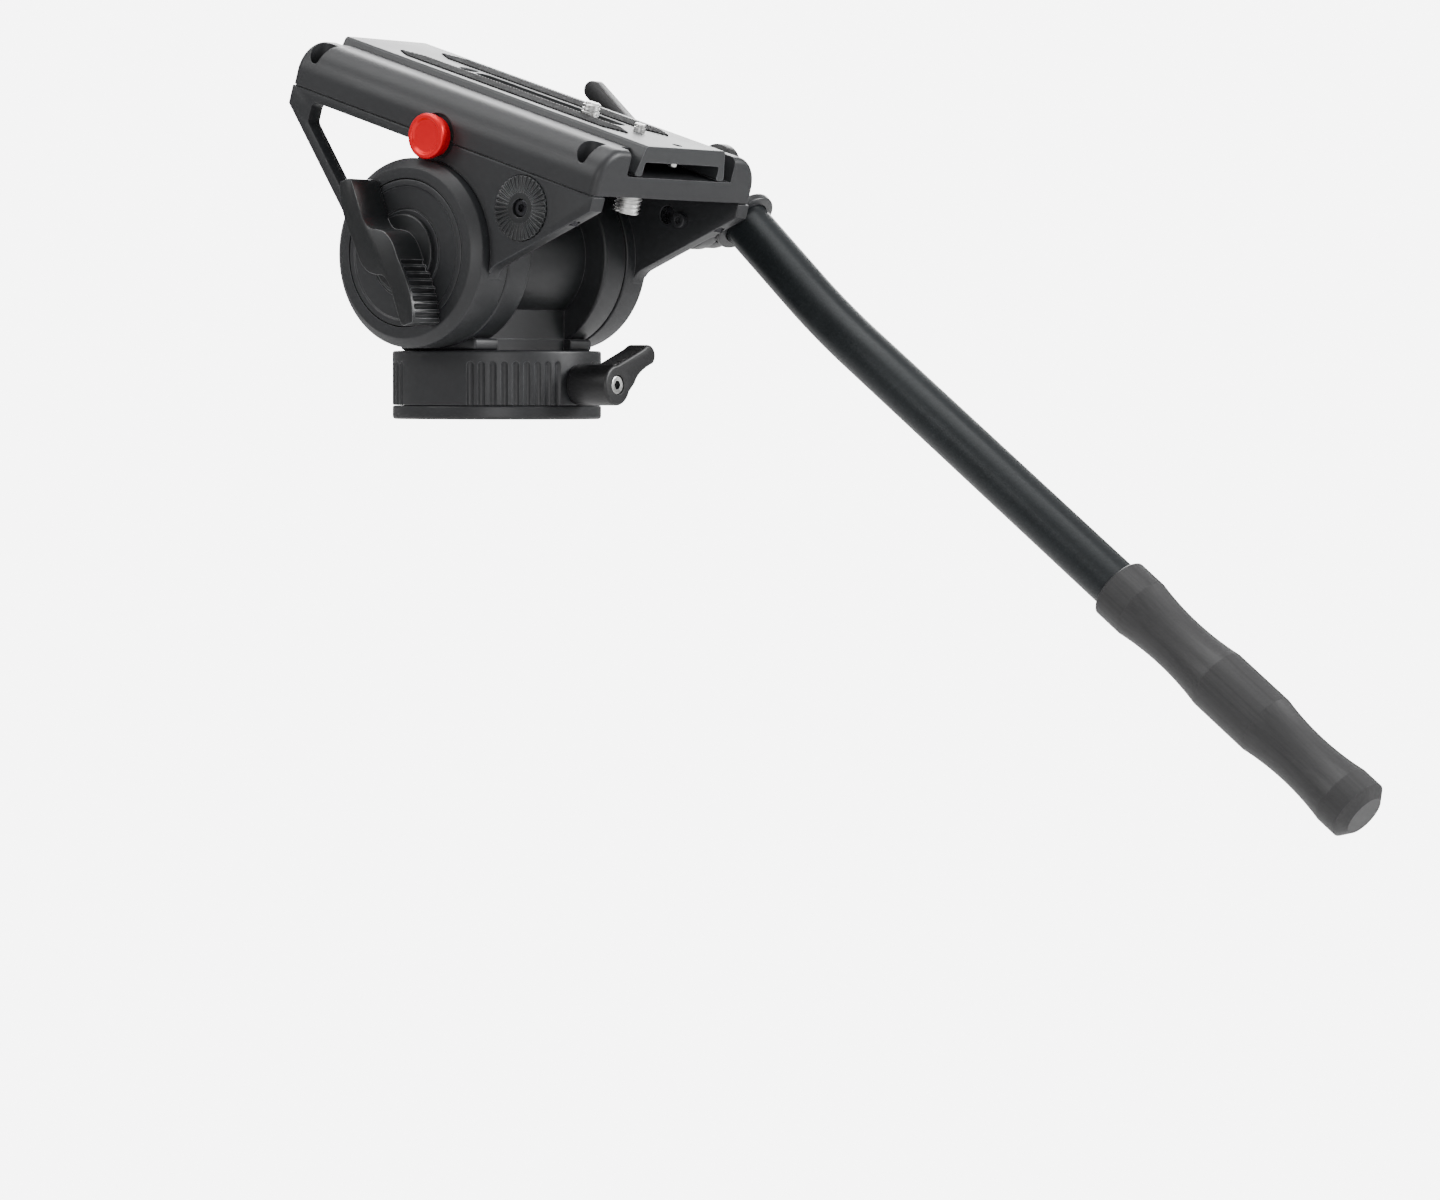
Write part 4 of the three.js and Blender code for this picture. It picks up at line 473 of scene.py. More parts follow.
def gathered(bodies):
    """Puts several bodies, which stand clear of each other, into one."""
    whole = bmesh.new()
    for body in bodies:
        data = bpy.data.meshes.new("part")
        body.to_mesh(data)
        whole.from_mesh(data)
        bpy.data.meshes.remove(data)
        body.free()
    return whole


across = Matrix(((0, 0, 1, 0), (1, 0, 0, 0), (0, 1, 0, 0), (0, 0, 0, 1)))
rearwards = Matrix(((1, 0, 0, 0), (0, 0, -1, 0), (0, 1, 0, 0), (0, 0, 0, 1)))
grooves = []
for group in groove_groups:
    for count in range(grooves_in_group):
        turn = radians(group + (count - (grooves_in_group - 1) / 2) * groove_pitch)
        groove = turned_body([
            (0, ring_bottom - 1), (groove_radius, ring_bottom - 1),
            *high_round(groove_radius, groove_top, groove_radius, 5),
        ], 20)
        grooves.append(moved(groove, shift(groove_circle * cos(turn), groove_circle * sin(turn), 0)))
ring = turned_body([
    (neck_radius + gap, ring_deck), (ring_inner, ring_deck), (ring_inner, ring_bottom),
    *low_round(base_radius, ring_bottom, ring_edge / 2, 4), *high_round(base_radius, ring_top, ring_edge, 6),
    (neck_radius + gap, ring_top),
], 240)
ring = combined(ring, [gathered(grooves), gathered([
    moved(rod(stud_hole_radius, ring_inner - 2, base_radius + 2), shift(0, 0, pan_lock_height) @ rearwards),
    *[moved(rod(yoke_screw_hole, ring_deck - 1, ring_top + 1, 24), shift(*place, 0)) for place in yoke_screw_places],
])])
fitted("turning_ring_grooved", ring, black_casting, "pan_unit", "housing", "pan_ring", sharp=38)

# Pan lock lever: a moulded thumb lever on a round hub at the back of the ring.
# Pushing it round draws a brass shoe against the spindle; a bright socket screw holds it on its stud.
lever_face = -55.6
lever_hub_radius = 7.3
lever_hub_edges = (0.8, 1.1)
lever_arm_depth = 9.4
lever_reach = 20.8
lever_tip_radius = 3.9
lever_rest_angle = radians(30.2)
lever_arm_angle = radians(100)
lever_dip = ((lever_reach * 0.62, -1.87), (lever_reach * 0.44, -4.59))
lock_screw_radius = 3.25
lock_screw_head = 2.6
lock_screw_size = (lock_screw_radius, lock_screw_head, 2, 9)
moulded_black = coated_metal(
    "moulded_black", (0.013, 0.013, 0.014), (0.05, 0.05, 0.052), roughness=0.4, grain_size=0.5, depth=0.05,
)
screw_steel = turned_metal("screw_steel", (0.80, 0.80, 0.79), 0.32, depth=0.05)


def only(kind, parts):
    return [part for part in parts if isinstance(part, kind)]


def outline_body(points, depth, base=0.0):
    """A closed outline in X and Y, raised along Z."""
    body = bmesh.new()
    face = body.faces.new([body.verts.new((x, y, base)) for x, y in points])
    raised = bmesh.ops.extrude_face_region(body, geom=[face])["geom"]
    bmesh.ops.translate(body, vec=(0, 0, depth), verts=only(bmesh.types.BMVert, raised))
    return facing_out(body)


def eased(body, width, angle=30, steps=2, edges=None, clamped=True):
    """Breaks the sharp edges of a body, or the edges that are given."""
    edges = edges or [
        edge for edge in body.edges
        if len(edge.link_faces) == 2 and edge.calc_face_angle() > radians(angle)
    ]
    bmesh.ops.bevel(
        body, geom=edges, offset=width, offset_type="OFFSET", segments=steps, profile=0.5,
        affect="EDGES", material=-1, clamp_overlap=clamped,
    )
    return body


def quarter_turn(axis, quarters=1):
    return Matrix.Rotation(quarters * pi / 2, 4, axis)


def socket_screw(head_radius, head_height, shank_radius, length, edge=0.35):
    """A screw along -Z with its head's top at zero, a hexagonal socket and a broken edge."""
    socket_radius = head_radius * 0.52
    socket_depth = head_height * 0.65
    body = turned_body([
        (0, 0), (head_radius - edge, 0), *arc(head_radius - edge, -edge, edge, 90, 0, 4),
        (head_radius, -head_height), (shank_radius, -head_height), (shank_radius, -length), (0, -length),
    ], 48)
    return combined(body, [outline_body(arc(0, 0, socket_radius, 0, 300, 5), head_height, -socket_depth)])


def fitted_screw(name, size, place, material, body, *slot_and_node):
    """A socket screw of a size (head radius, head height, shank radius, length, edge) at its place."""
    return fitted(name, moved(socket_screw(*size), place), material, body, *slot_and_node)


hub = moved(round_disc(
    lever_hub_radius, base_radius + gap, -lever_face, (lever_hub_edges[0], 5), (lever_hub_edges[1], 6),
), rearwards)
arm_outline = [
    (lever_hub_radius * cos(lever_arm_angle), lever_hub_radius * sin(lever_arm_angle)),
    (lever_reach - lever_tip_radius / 2, lever_tip_radius), *arc(lever_reach, 0, lever_tip_radius, 90, -76, 16),
]
dip_start, dip_middle, dip_end = (Vector(point) for point in (arm_outline[-1], *lever_dip))
for step in range(1, 9):
    share = step / 8
    arm_outline.append(tuple(
        dip_start * (1 - share) ** 2 + dip_middle * 2 * share * (1 - share) + dip_end * share ** 2
    ))
arm_outline += [(lever_hub_radius * 0.6, -lever_hub_radius * 0.8), (-lever_hub_radius * 0.5, 0)]
arm = moved(
    eased(outline_body(arm_outline, lever_arm_depth), lever_hub_edges[1], 40, 3),
    Matrix.Rotation(-lever_rest_angle, 4, "Y") @ shift(0, lever_face + lever_arm_depth, 0) @ rearwards,
)
screw_pocket = moved(
    rod(lock_screw_radius + gap, -lever_face - lock_screw_head - gap, -lever_face + 2), rearwards,
)
lever = moved(combined(combined(hub, [arm], "UNION"), [screw_pocket]), shift(0, 0, pan_lock_height))
fitted("pan_lock_lever_moulded", lever, moulded_black, "pan_lever", "moulding", "pan_lock_lever", sharp=35)
lock_screw = fitted_screw(
    "pan_lock_socket_screw", lock_screw_size, shift(0, lever_face + gap, pan_lock_height) @ quarter_turn("X"),
    screw_steel, "pan_lever", "bright_steel", "pan_lock_screw",
)
lock_screw.data.materials.append(black_casting)
for face in lock_screw.data.polygons:
    # The walls and floor of the socket are painted black: painted shade in the recess.
    off_axis = hypot(face.center.x, face.center.z - pan_lock_height * 0.001)
    if off_axis < lock_screw_radius * 0.0005 and face.center.y > (lever_face + gap + 0.05) * 0.001:
        face.material_index = 1

# Yoke: one casting with two round cheeks on a foot, which carry the tilt axle and the drag.
# Between the cheeks runs the drum that hides the counterbalance spring.
axis_height = 58.6
cheek_inner = 21
cheek_outer = 33
cheek_radius = 33.3
drum_radius = 24
foot_half_depth = 17.5
foot_bottom = ring_top + 0.02
foot_top = foot_bottom + 4.2
foot_edge = 1.2
foot_gap_half = 3.2
pedestal_half_depth = 14
axle_bore = 8.8
cheek_edge = 1.0


def block(x0, x1, y0, y1, z0, z1):
    """A plain block between two corners, for cutting or for rounding off."""
    body = bmesh.new()
    size = Matrix.Diagonal((x1 - x0, y1 - y0, z1 - z0, 1))
    bmesh.ops.create_cube(body, size=1, matrix=shift((x0 + x1) / 2, (y0 + y1) / 2, (z0 + z1) / 2) @ size)
    return body


axis_frame = shift(0, 0, axis_height) @ across
cheeks = []
for side in (-1, 1):
    near, far = sorted((side * cheek_inner, side * cheek_outer))
    cheeks.append(moved(round_disc(cheek_radius, near, far, (cheek_edge, 5), (cheek_edge, 5), 180), axis_frame))
yoke = combined(cheeks[0], [
    moved(rod(drum_radius, -cheek_inner - 4, cheek_inner + 4, 120), axis_frame), cheeks[1],
    block(-cheek_inner - 2, cheek_inner + 2, -pedestal_half_depth, pedestal_half_depth, foot_bottom, axis_height),
    eased(block(
        -cheek_outer, cheek_outer, -foot_half_depth, foot_half_depth, foot_bottom, foot_top,
    ), foot_edge, 40, 3),
], "UNION")
yoke = combined(yoke, [
    block(-50, 50, -50, 50, foot_bottom - 30, foot_bottom),
    moved(rod(axle_bore, -cheek_outer - 2, cheek_outer + 2, 72), axis_frame),
    gathered([block(
        0.5 - cheek_inner, cheek_inner - 0.5,
        side * foot_half_depth - foot_gap_half, side * foot_half_depth + foot_gap_half, foot_bottom - 1, foot_top + 1,
    ) for side in (-1, 1)]),
])
fitted("yoke_cast", yoke, black_casting, "pan_unit", "housing", "yoke", sharp=35)

# Side plates: two flat castings that carry the channel above the axle, open in front as a triangle.
# Each has a round boss with a bevelled rim, set off from the plate by a fine dark groove.
tilt = radians(17.5)
head_frame = shift(0, 0, axis_height) @ Matrix.Rotation(tilt, 4, "X")
plate_inner = 38
plate_outer = 44.5
plate_top = 41.05
plate_edge = 0.3
boss_inner = 33.5
boss_radius = 33.42
boss_faces = {-1: 50.6, 1: 47.5}
boss_bevel_width = 3.7
boss_bevel_depth = 2.6
boss_edge = 1.2
shadow_groove_width = 0.55
cover_radius = 25.9
cover_thickness = 3.6
chamber_radius = 24
chamber_floor = 3.4
axle_way = 6.3
rosette_place = (-41.3, 28.6)
rosette_radius = 11.3
rosette_seat = 3
rosette_screw_below = 6.9
rosette_screw_way = 1.7
handle_bolt_radius = 3
body_screw_across = 41.25
body_screw_places = {"front": 66, "rear": -62.4}
body_screw_way = 2.3
body_screw_depths = (28.6, 44)
button_place = (3.2, 41.6)
catch_way = (3.3, 42.4)
cup_way = (8.3, 60)
strut_drop = radians(39.3)
rear_drop = radians(40.2)
front_reach = 74
front_corner = 34.2
rear_reach = 71
rear_corner = 36
fillet = 8
strut_width = 3.8
window_top = 37.7
window_front = 63.1
window_rear = 10
window_corner = 2.4
tongue_inset = 0.8
tongue_top = 41.57
sides = {"left": -1, "right": 1}


def softened(corners, steps=8):
    """Rounds each corner (x, y, radius) of an outline."""
    points = []
    for index, (x, y, radius) in enumerate(corners):
        here = Vector((x, y))
        before = (Vector(corners[index - 1][:2]) - here).normalized()
        after = (Vector(corners[(index + 1) % len(corners)][:2]) - here).normalized()
        half = before.angle(after) / 2
        middle = here + (before + after).normalized() * radius / sin(half)
        start = here + before * radius / tan(half) - middle
        end = here + after * radius / tan(half) - middle
        first = atan2(start.y, start.x)
        turn = (atan2(end.y, end.x) - first + pi) % (2 * pi) - pi
        points += arc(middle.x, middle.y, radius, degrees(first), degrees(first + turn), steps)
    return points


def turned_across(profile, side, steps=144):
    """Spins (radius, distance out) points round the tilt axis, on one side."""
    return moved(turned_body([(radius, side * out) for radius, out in profile], steps), across)


def stepped(start, *steps):
    """The profile of a stepped bore, from its start through steps of (radius, end)."""
    points = [(0, start)]
    for radius, end in steps:
        points += [(radius, start), (radius, end)]
        start = end
    return [*points, (0, start)]


def button_bore():
    """The button's way through the left wall: a bore for the catch, wider in front for the cup."""
    return moved(turned_across(stepped(10, catch_way, cup_way), -1, 64), shift(0, *button_place))


strut_offset = front_reach * sin(strut_drop) - front_corner * cos(strut_drop)
strut_run = sqrt((boss_radius - boss_bevel_width) ** 2 - strut_offset ** 2)
strut_foot = (
    strut_offset * sin(strut_drop) + strut_run * cos(strut_drop),
    -strut_offset * cos(strut_drop) + strut_run * sin(strut_drop),
)
rear_offset = rear_reach * sin(rear_drop) - rear_corner * cos(rear_drop)
fillet_run = sqrt((boss_radius + fillet) ** 2 - (rear_offset + fillet) ** 2)
fillet_middle = (
    -sin(rear_drop) * (rear_offset + fillet) - cos(rear_drop) * fillet_run,
    -cos(rear_drop) * (rear_offset + fillet) + sin(rear_drop) * fillet_run,
)
to_boss = degrees(atan2(-fillet_middle[1], -fillet_middle[0]))
to_line = degrees(atan2(cos(rear_drop), sin(rear_drop)))
plate_outline = [
    (front_reach, plate_top), (-rear_reach, plate_top), (-rear_reach, rear_corner),
    *arc(*fillet_middle, fillet, to_line, to_boss, 12), (0, 0), strut_foot, (front_reach, front_corner),
]


def strut_top(forward):
    return front_corner + strut_width / cos(strut_drop) - (front_reach - forward) * tan(strut_drop)


low_corner = boss_radius * cos(strut_drop / 2)
window_outline = softened([(*corner, window_corner) for corner in (
    (window_rear, window_top), (window_rear, boss_radius / 2), (low_corner, strut_top(low_corner)),
    (window_front, strut_top(window_front)), (window_front, window_top),
)])
rosette_at = shift(0, *rosette_place)
for side_name, side in sides.items():
    boss_face = boss_faces[side]
    near, far = sorted((side * plate_inner, side * plate_outer))
    window = moved(outline_body(window_outline, far - near + 4, near - 2), across)
    plate = combined(moved(outline_body(plate_outline, far - near, near), across), [window])
    eased(plate, plate_edge, 35)
    seam_tongue = block(
        near + tongue_inset, far - tongue_inset, tongue_inset - rear_reach, front_reach - tongue_inset,
        plate_top - tongue_inset, tongue_top,
    )
    plate = combined(plate, [seam_tongue], "UNION")
    shadow_groove = turned_across([
        (boss_radius, plate_outer - 1), (boss_radius + shadow_groove_width, plate_outer - 1),
        (boss_radius + shadow_groove_width, plate_outer + 1), (boss_radius, plate_outer + 1),
    ], side, 180)
    plate = combined(plate, [shadow_groove])
    boss = turned_across([
        (0, boss_inner), *low_round(boss_radius, boss_inner, boss_edge / 2, 4),
        *arc(boss_radius - boss_edge, boss_face - boss_bevel_depth - 0.9, boss_edge, 0, 40, 5),
        *arc(boss_radius - boss_bevel_width, boss_face - 0.8, 0.8, 45, 90, 4), (0, boss_face),
    ], side, 180)
    cover_seat = boss_face - cover_thickness - gap
    tools = [
        turned_across(stepped(cover_seat, (cover_radius + gap, boss_face + 2)), side, 144),
        turned_across(stepped(
            boss_inner - 2, (axle_way, boss_inner + chamber_floor), (chamber_radius, cover_seat + gap),
        ), side, 96),
        moved(turned_across(stepped(
            plate_inner - 2, (handle_bolt_radius + gap, plate_outer - rosette_seat),
            (rosette_radius + gap, plate_outer + 2),
        ), side, 96), rosette_at),
        gathered([
            moved(
                turned_across(stepped(plate_inner - 2, (rosette_screw_way, plate_outer - 1)), side, 24),
                rosette_at @ shift(0, -rosette_screw_below, 0),
            ),
            *[
                moved(rod(body_screw_way, *body_screw_depths, 24), shift(side * body_screw_across, forward, 0))
                for forward in body_screw_places.values()
            ],
        ]),
    ]
    if side_name == "left":
        tools.append(button_bore())
    plate = moved(combined(combined(plate, [boss], "UNION"), tools), head_frame)
    plate_node = f"side_plate_{side_name}"
    fitted(f"{plate_node}_cast", plate, black_casting, "tilt_head", "housing", plate_node, sharp=28)

# Drag covers: turned discs let into the bosses, each with a fine ring cut round its middle.
# The left one lets the brake axle through to the lock knob, and the right one is closed.
cover_ring = 15.4
cover_step = 0.4
cover_lip = (2.1, 2.6)
cover_pool_radius = 5.6
cover_pool_depth = 0.35
cover_black = coated_metal(
    "cover_black", (0.023, 0.024, 0.026), (0.14, 0.145, 0.15), roughness=0.4, grain_size=0.2, depth=0.006, cloud=0.08,
)
for side_name, side in sides.items():
    back = boss_faces[side] - cover_thickness
    face = boss_faces[side] - cover_step
    closed = side_name == "right"
    profile = [
        (0 if closed else axle_way, back), (cover_radius, back), *high_round(cover_radius, boss_faces[side], 0.5, 5),
        (cover_radius - cover_lip[0], boss_faces[side]), (cover_radius - cover_lip[1], face),
        (cover_ring + 0.35, face), (cover_ring + 0.2, face - 0.5), (cover_ring - 0.2, face - 0.5),
        (cover_ring - 0.35, face),
    ]
    profile += [
        (6, face), (cover_pool_radius, face - cover_pool_depth), (0, face - cover_pool_depth),
    ] if closed else [(axle_way, face)]
    cover = moved(turned_across(profile, side, 180), head_frame)
    cover_node = f"drag_cover_{side_name}"
    fitted(f"{cover_node}_turned", cover, cover_black, "tilt_head", "cover", cover_node, sharp=25)

# Rosettes: moulded discs with thirty-six radial teeth, which lock the handle at any angle.
# Each groove between the teeth widens and deepens towards the rim; a screw from inside holds the disc.
rosette_thickness = 2.7
rosette_teeth = 36
tooth_inner = 5.4
tooth_outer = 12.2
tooth_depth = (0.3, 0.95)
tooth_width = (0.24, 0.72)
rosette_crest = 0.85
rosette_hub = 4.7
rosette_hub_rise = 0.9
rosette_bore = 3.3
rosette_screw_size = (2.7, 2.2, 1.4, 5.4)
rosette_plug_size = (3, 2.4, 3, 6.2, 0.4)
toothed_black = coated_metal(
    "toothed_black", (0.016, 0.017, 0.018), (0.13, 0.135, 0.14), roughness=0.38, grain_size=0.3, depth=0.015,
)
oiled_black_steel = turned_metal("oiled_black_steel", (0.045, 0.045, 0.05), 0.3, metallic=0.8)


def toothed_disc(crest, hub):
    """A disc on Z = 0, with radial V grooves in its face at the height crest."""
    disc = turned_body([
        (rosette_bore, 0), (rosette_radius - 0.3, 0), (rosette_radius, 0.3), (rosette_radius, crest - 0.3),
        (rosette_radius - 0.3, crest), (rosette_hub + 0.5, crest), (rosette_hub, hub), (rosette_bore, hub),
    ], 144)
    cutters = []
    for count in range(rosette_teeth):
        cutter = bmesh.new()
        face = cutter.faces.new([cutter.verts.new(place) for place in (
            (tooth_inner, -tooth_width[0] * 1.5, crest + tooth_depth[0] * 0.5),
            (tooth_inner, 0, crest - tooth_depth[0]),
            (tooth_inner, tooth_width[0] * 1.5, crest + tooth_depth[0] * 0.5),
        )])
        ends = only(bmesh.types.BMVert, bmesh.ops.extrude_face_region(cutter, geom=[face])["geom"])
        bmesh.ops.scale(
            cutter, vec=(1, tooth_width[1] / tooth_width[0], tooth_depth[1] / tooth_depth[0]),
            space=shift(0, 0, -crest), verts=ends,
        )
        bmesh.ops.translate(cutter, vec=(tooth_outer - tooth_inner, 0, 0), verts=ends)
        cutters.append(moved(facing_out(cutter), Matrix.Rotation(2 * pi * count / rosette_teeth, 4, "Z")))
    return combined(disc, [gathered(cutters)])


for side_name, side in sides.items():
    rosette_node = f"rosette_{side_name}"
    disc = moved(
        toothed_disc(rosette_thickness + rosette_crest, rosette_thickness + rosette_hub_rise),
        head_frame @ shift(side * (plate_outer - rosette_thickness), *rosette_place) @ quarter_turn("Y", side),
    )
    fitted(f"{rosette_node}_toothed", disc, toothed_black, "tilt_head", "moulding", rosette_node, sharp=20)
    screw_node = f"rosette_screw_{side_name}"
    fitted_screw(
        f"{screw_node}_capped", rosette_screw_size,
        head_frame @ rosette_at @ shift(side * (plate_inner - gap - rosette_screw_size[1]), -rosette_screw_below, 0)
        @ quarter_turn("Y", -side), black_casting, "tilt_head", "black_steel", screw_node,
    )
fitted_screw(
    "rosette_plug_screw", rosette_plug_size,
    head_frame @ rosette_at @ shift(-plate_outer, 0, 0) @ quarter_turn("Y", -1),
    oiled_black_steel, "tilt_head", "black_steel", "rosette_plug",
)

# Tilt lock knob: a hub and a wing shaped like a flat S, cast in one and painted black.
# The thick lobe on each side has eight ribs for the thumb, and the wing's face has a fine bevelled edge whose
# brightness is a highlight painted into the knob's colour.
wing_foot = 51.3
wing_face = 66
wing_half_length = 29.8
wing_half_width = 8.1
wing_angle = radians(60.5)
wing_edge = 0.45
knob_hub_radius = 13.6
knob_hub_height = 1.1
knob_bore_depth = 9.3
rib_count = 8
rib_pitch = 2.75
rib_first = 2.2
rib_radius = 1.0
rib_top_inset = 1.0
flank = [(x * wing_half_length, -y * wing_half_width) for x, y in (
    (-1, 0.3), (-0.87, 0.57), (-0.675, 0.8), (-0.45, 0.91), (-0.233, 0.94), (-0.03, 1), (0.126, 0.86),
    (0.221, 0.545), (0.305, 0.168), (0.45, 0.068), (0.577, 0.126), (0.74, 0.222), (0.9, 0.3), (0.965, 0.2),
)]
flank.append((-flank[0][0], -flank[0][1]))
satin_black = coated_metal(
    "satin_black", (0.024, 0.025, 0.027), (0.16, 0.165, 0.17), roughness=0.36, grain_size=0.25, depth=0.012,
)
# The knob's pale edge colour is a painted highlight, far lighter than the edges of the other black parts.
knob_black_edge_highlight = coated_metal(
    "knob_black_edge_highlight", (0.010, 0.011, 0.012), (0.42, 0.43, 0.44), roughness=0.36, grain_size=0.25, depth=0.012,
)


def smooth_line(points, steps):
    """A Catmull-Rom line through points, with the same number of steps in each span."""
    line = []
    for index in range(len(points) - 1):
        spans = [Vector(points[max(0, min(len(points) - 1, index + shift_by))]) for shift_by in (-1, 0, 1, 2)]
        for step in range(steps):
            share = step / steps
            line.append(tuple(
                spans[1] + 0.5 * share * (
                    spans[2] - spans[0] + share * (
                        2 * spans[0] - 5 * spans[1] + 4 * spans[2] - spans[3]
                        + share * (3 * (spans[1] - spans[2]) + spans[3] - spans[0])))
            ))
    return line


half_wing = smooth_line(flank, 5)
wing_height = wing_face - wing_foot
wing = eased(outline_body(half_wing + [(-x, -y) for x, y in half_wing], wing_height), wing_edge, 60)
grooves = []
for count in range(rib_count):
    along = rib_first + count * rib_pitch - wing_half_length
    after = next(index for index, point in enumerate(half_wing) if point[0] > along)
    (x0, y0), (x1, y1) = half_wing[after - 1:after + 1]
    deep = y0 + (y1 - y0) * (along - x0) / (x1 - x0)
    for turn in (1, -1):
        groove = turned_body([
            (0, -2), (rib_radius, -2), *high_round(rib_radius, wing_height - rib_top_inset, rib_radius, 4),
        ], 16)
        grooves.append(moved(groove, shift(turn * along, turn * (deep - 0.1), 0)))
knob_hub = turned_body([
    (0, 0), (knob_hub_radius - 0.2, 0), (knob_hub_radius, 0.2),
    *high_round(knob_hub_radius, knob_hub_height, 0.4, 4), (0, knob_hub_height),
], 120)
knob = combined(combined(wing, [gathered(grooves)]), [knob_hub], "UNION")
knob = moved(
    combined(knob, [rod(axle_way, -2, knob_bore_depth, 48)]),
    shift(-wing_foot, 0, axis_height) @ quarter_turn("Y", -1) @ Matrix.Rotation(pi / 2 - wing_angle, 4, "Z"),
)
fitted("tilt_lock_knob_winged", knob, knob_black_edge_highlight, "tilt_knob", "cover", "tilt_lock_knob", sharp=30)

# Channel body: a broad extrusion with rounded shoulders and a dovetail groove along its top.
# Its ends are filleted, and a scoop at each corner sinks a screw that holds the side plates.
body_half = 44.8
body_bottom = 41.6
body_top = 57.9
body_front = 74.3
body_rear = -71
shoulder_radius = 11.3
end_fillet = 2.6
floor_top = 48.9
plate_surface = 60.2
plate_half = 22.2
dovetail_spread = 3.4
relief_half = 29.2
relief_length = 6.2
relief_corner = 1.4
jaw_outer = 29
jaw_rear = -62
jaw_length = 65
jaw_travel = 0.9
scoop_radius = 5.1
scoop_across = 38.9
scoop_ahead = 0.9
scoop_floor = 49.3
body_screw_size = (2, 2, 1.8, 20.4)
lever_place = (-51.5, 50.6)
lever_bolt_way = 1.8
spare_place = (-12.5, -61.3)
spare_radius = 4.76
spare_bore_depth = 5.3


def mirrored(points):
    """Closes one half of an outline with its mirror image."""
    return [*points, *[(-x, y) for x, y in reversed(points)]]


def flank_at(height):
    """Half width of the sliding plate's dovetail at one height."""
    return plate_half + dovetail_spread * (plate_surface - height) / (plate_surface - floor_top)


channel = moved(outline_body(
    mirrored([(body_half, body_bottom), *high_round(body_half, body_top, shoulder_radius, 20)]), body_front - body_rear,
), shift(0, body_front, 0) @ rearwards)
eased(channel, end_fillet, steps=6, clamped=False, edges=[
    edge for edge in channel.edges
    if abs(edge.verts[0].co.y - edge.verts[1].co.y) < 0.01
    and not all(abs(vert.co.z - body_bottom) < 0.01 for vert in edge.verts)
    and len(edge.link_faces) == 2 and edge.calc_face_angle() > 1
])
dovetail = moved(outline_body(
    mirrored([(flank_at(height) + gap, height) for height in (floor_top, body_top, body_top + 4)]),
    body_front - body_rear + 8,
), shift(0, body_front + 4, 0) @ rearwards)
reliefs = [
    eased(block(-relief_half, relief_half, start, end, floor_top, body_top + 8), relief_corner, 40, 4)
    for start, end in ((body_rear - 8, body_rear + relief_length), (body_front - relief_length, body_front + 8))
]
jaw_pocket = block(
    0, jaw_outer + jaw_travel + gap, body_rear - 4, jaw_rear + jaw_length + gap, floor_top, body_top + 6,
)
corners = [(side, forward) for side in sides.values() for forward in body_screw_places.values()]
scoops = gathered([
    eased(outline_body(
        arc(side * scoop_across, forward + scoop_ahead, scoop_radius, -16, 196, 24), 20, scoop_floor,
    ), 0.5, 40, 3) for side, forward in corners
])
screw_ways = gathered([
    moved(rod(body_screw_way, body_bottom - 2, scoop_floor + 0.5, 24), shift(side * body_screw_across, forward, 0))
    for side, forward in corners
])
lever_bore = moved(rod(lever_bolt_way, plate_half, body_half + 2, 32), shift(0, *lever_place) @ across)
spare_bore = moved(rod(spare_radius + gap, body_bottom - 2, body_bottom + spare_bore_depth, 48), shift(*spare_place, 0))
channel = moved(combined(channel, [
    dovetail, gathered(reliefs), jaw_pocket, scoops, screw_ways, button_bore(), gathered([lever_bore, spare_bore]),
]), head_frame)
fitted("channel_body_extruded", channel, black_casting, "tilt_head", "housing", "channel_body", sharp=28)
for end, forward in body_screw_places.items():
    for side_name, side in sides.items():
        screw_node = f"body_screw_{end}_{side_name}"
        fitted_screw(
            f"{screw_node}_capped", body_screw_size,
            head_frame @ shift(side * body_screw_across, forward, scoop_floor - 0.1),
            oiled_black_steel, "tilt_head", "black_steel", screw_node,
        )

# Spare tripod screw: a short 3/8 inch grub screw kept in the underside of the channel.
# Its bright thread shows behind the left side plate.
spare_core = spare_radius - 0.75
spare_end = -7.6
spare_slot_half = 0.7
spare_slot_depth = 1.7
spare = threaded_rod(spare_core, spare_radius, tap_pitch, spare_end, -0.2)
spare = combined(spare, [rod(spare_core - 0.05, -0.4, spare_bore_depth - gap, 48)], "UNION")
spare = moved(
    combined(spare, [block(-6, 6, -spare_slot_half, spare_slot_half, -9, spare_end + spare_slot_depth)]),
    head_frame @ shift(*spare_place, body_bottom),
)
fitted("spare_tripod_screw_threaded", spare, screw_steel, "tilt_head", "bright_steel", "spare_tripod_screw", sharp=25)

# Clamp jaw and plate lever: the jaw is the loose flank of the dovetail, drawn in by a bolt.
# The lever on the right wall turns the bolt; its arm lies along the body and turns up at its end.
jaw_edge = 0.8
jaw_top = body_top - gap
jaw_bottom = floor_top + gap
lever_inner = body_half + gap
lever_thickness = 5.1
lever_boss_radius = 7.5
lever_neck = 12
lever_half = 3.7
lever_arm = 42.1
lever_end = 23.4
lever_rise = radians(25.6)
lever_tip = 3.4
lever_edge = 0.4
lever_bolt_size = (3, 2.3, 1.5, 19.7)
lever_bolt_seat = lever_thickness / 2 - 0.6
jaw = moved(eased(outline_body([
    (flank_at(jaw_top) + gap, jaw_top), (jaw_outer, jaw_top), (jaw_outer, jaw_bottom),
    (flank_at(jaw_bottom) + gap, jaw_bottom),
], jaw_length), jaw_edge, 30, 3), head_frame @ shift(0, jaw_rear + jaw_length, 0) @ rearwards)
fitted("clamp_jaw_bar", jaw, satin_black, "jaw", "cover", "clamp_jaw")
knee = lever_half * tan(lever_rise / 2)
rise_degrees = degrees(lever_rise)
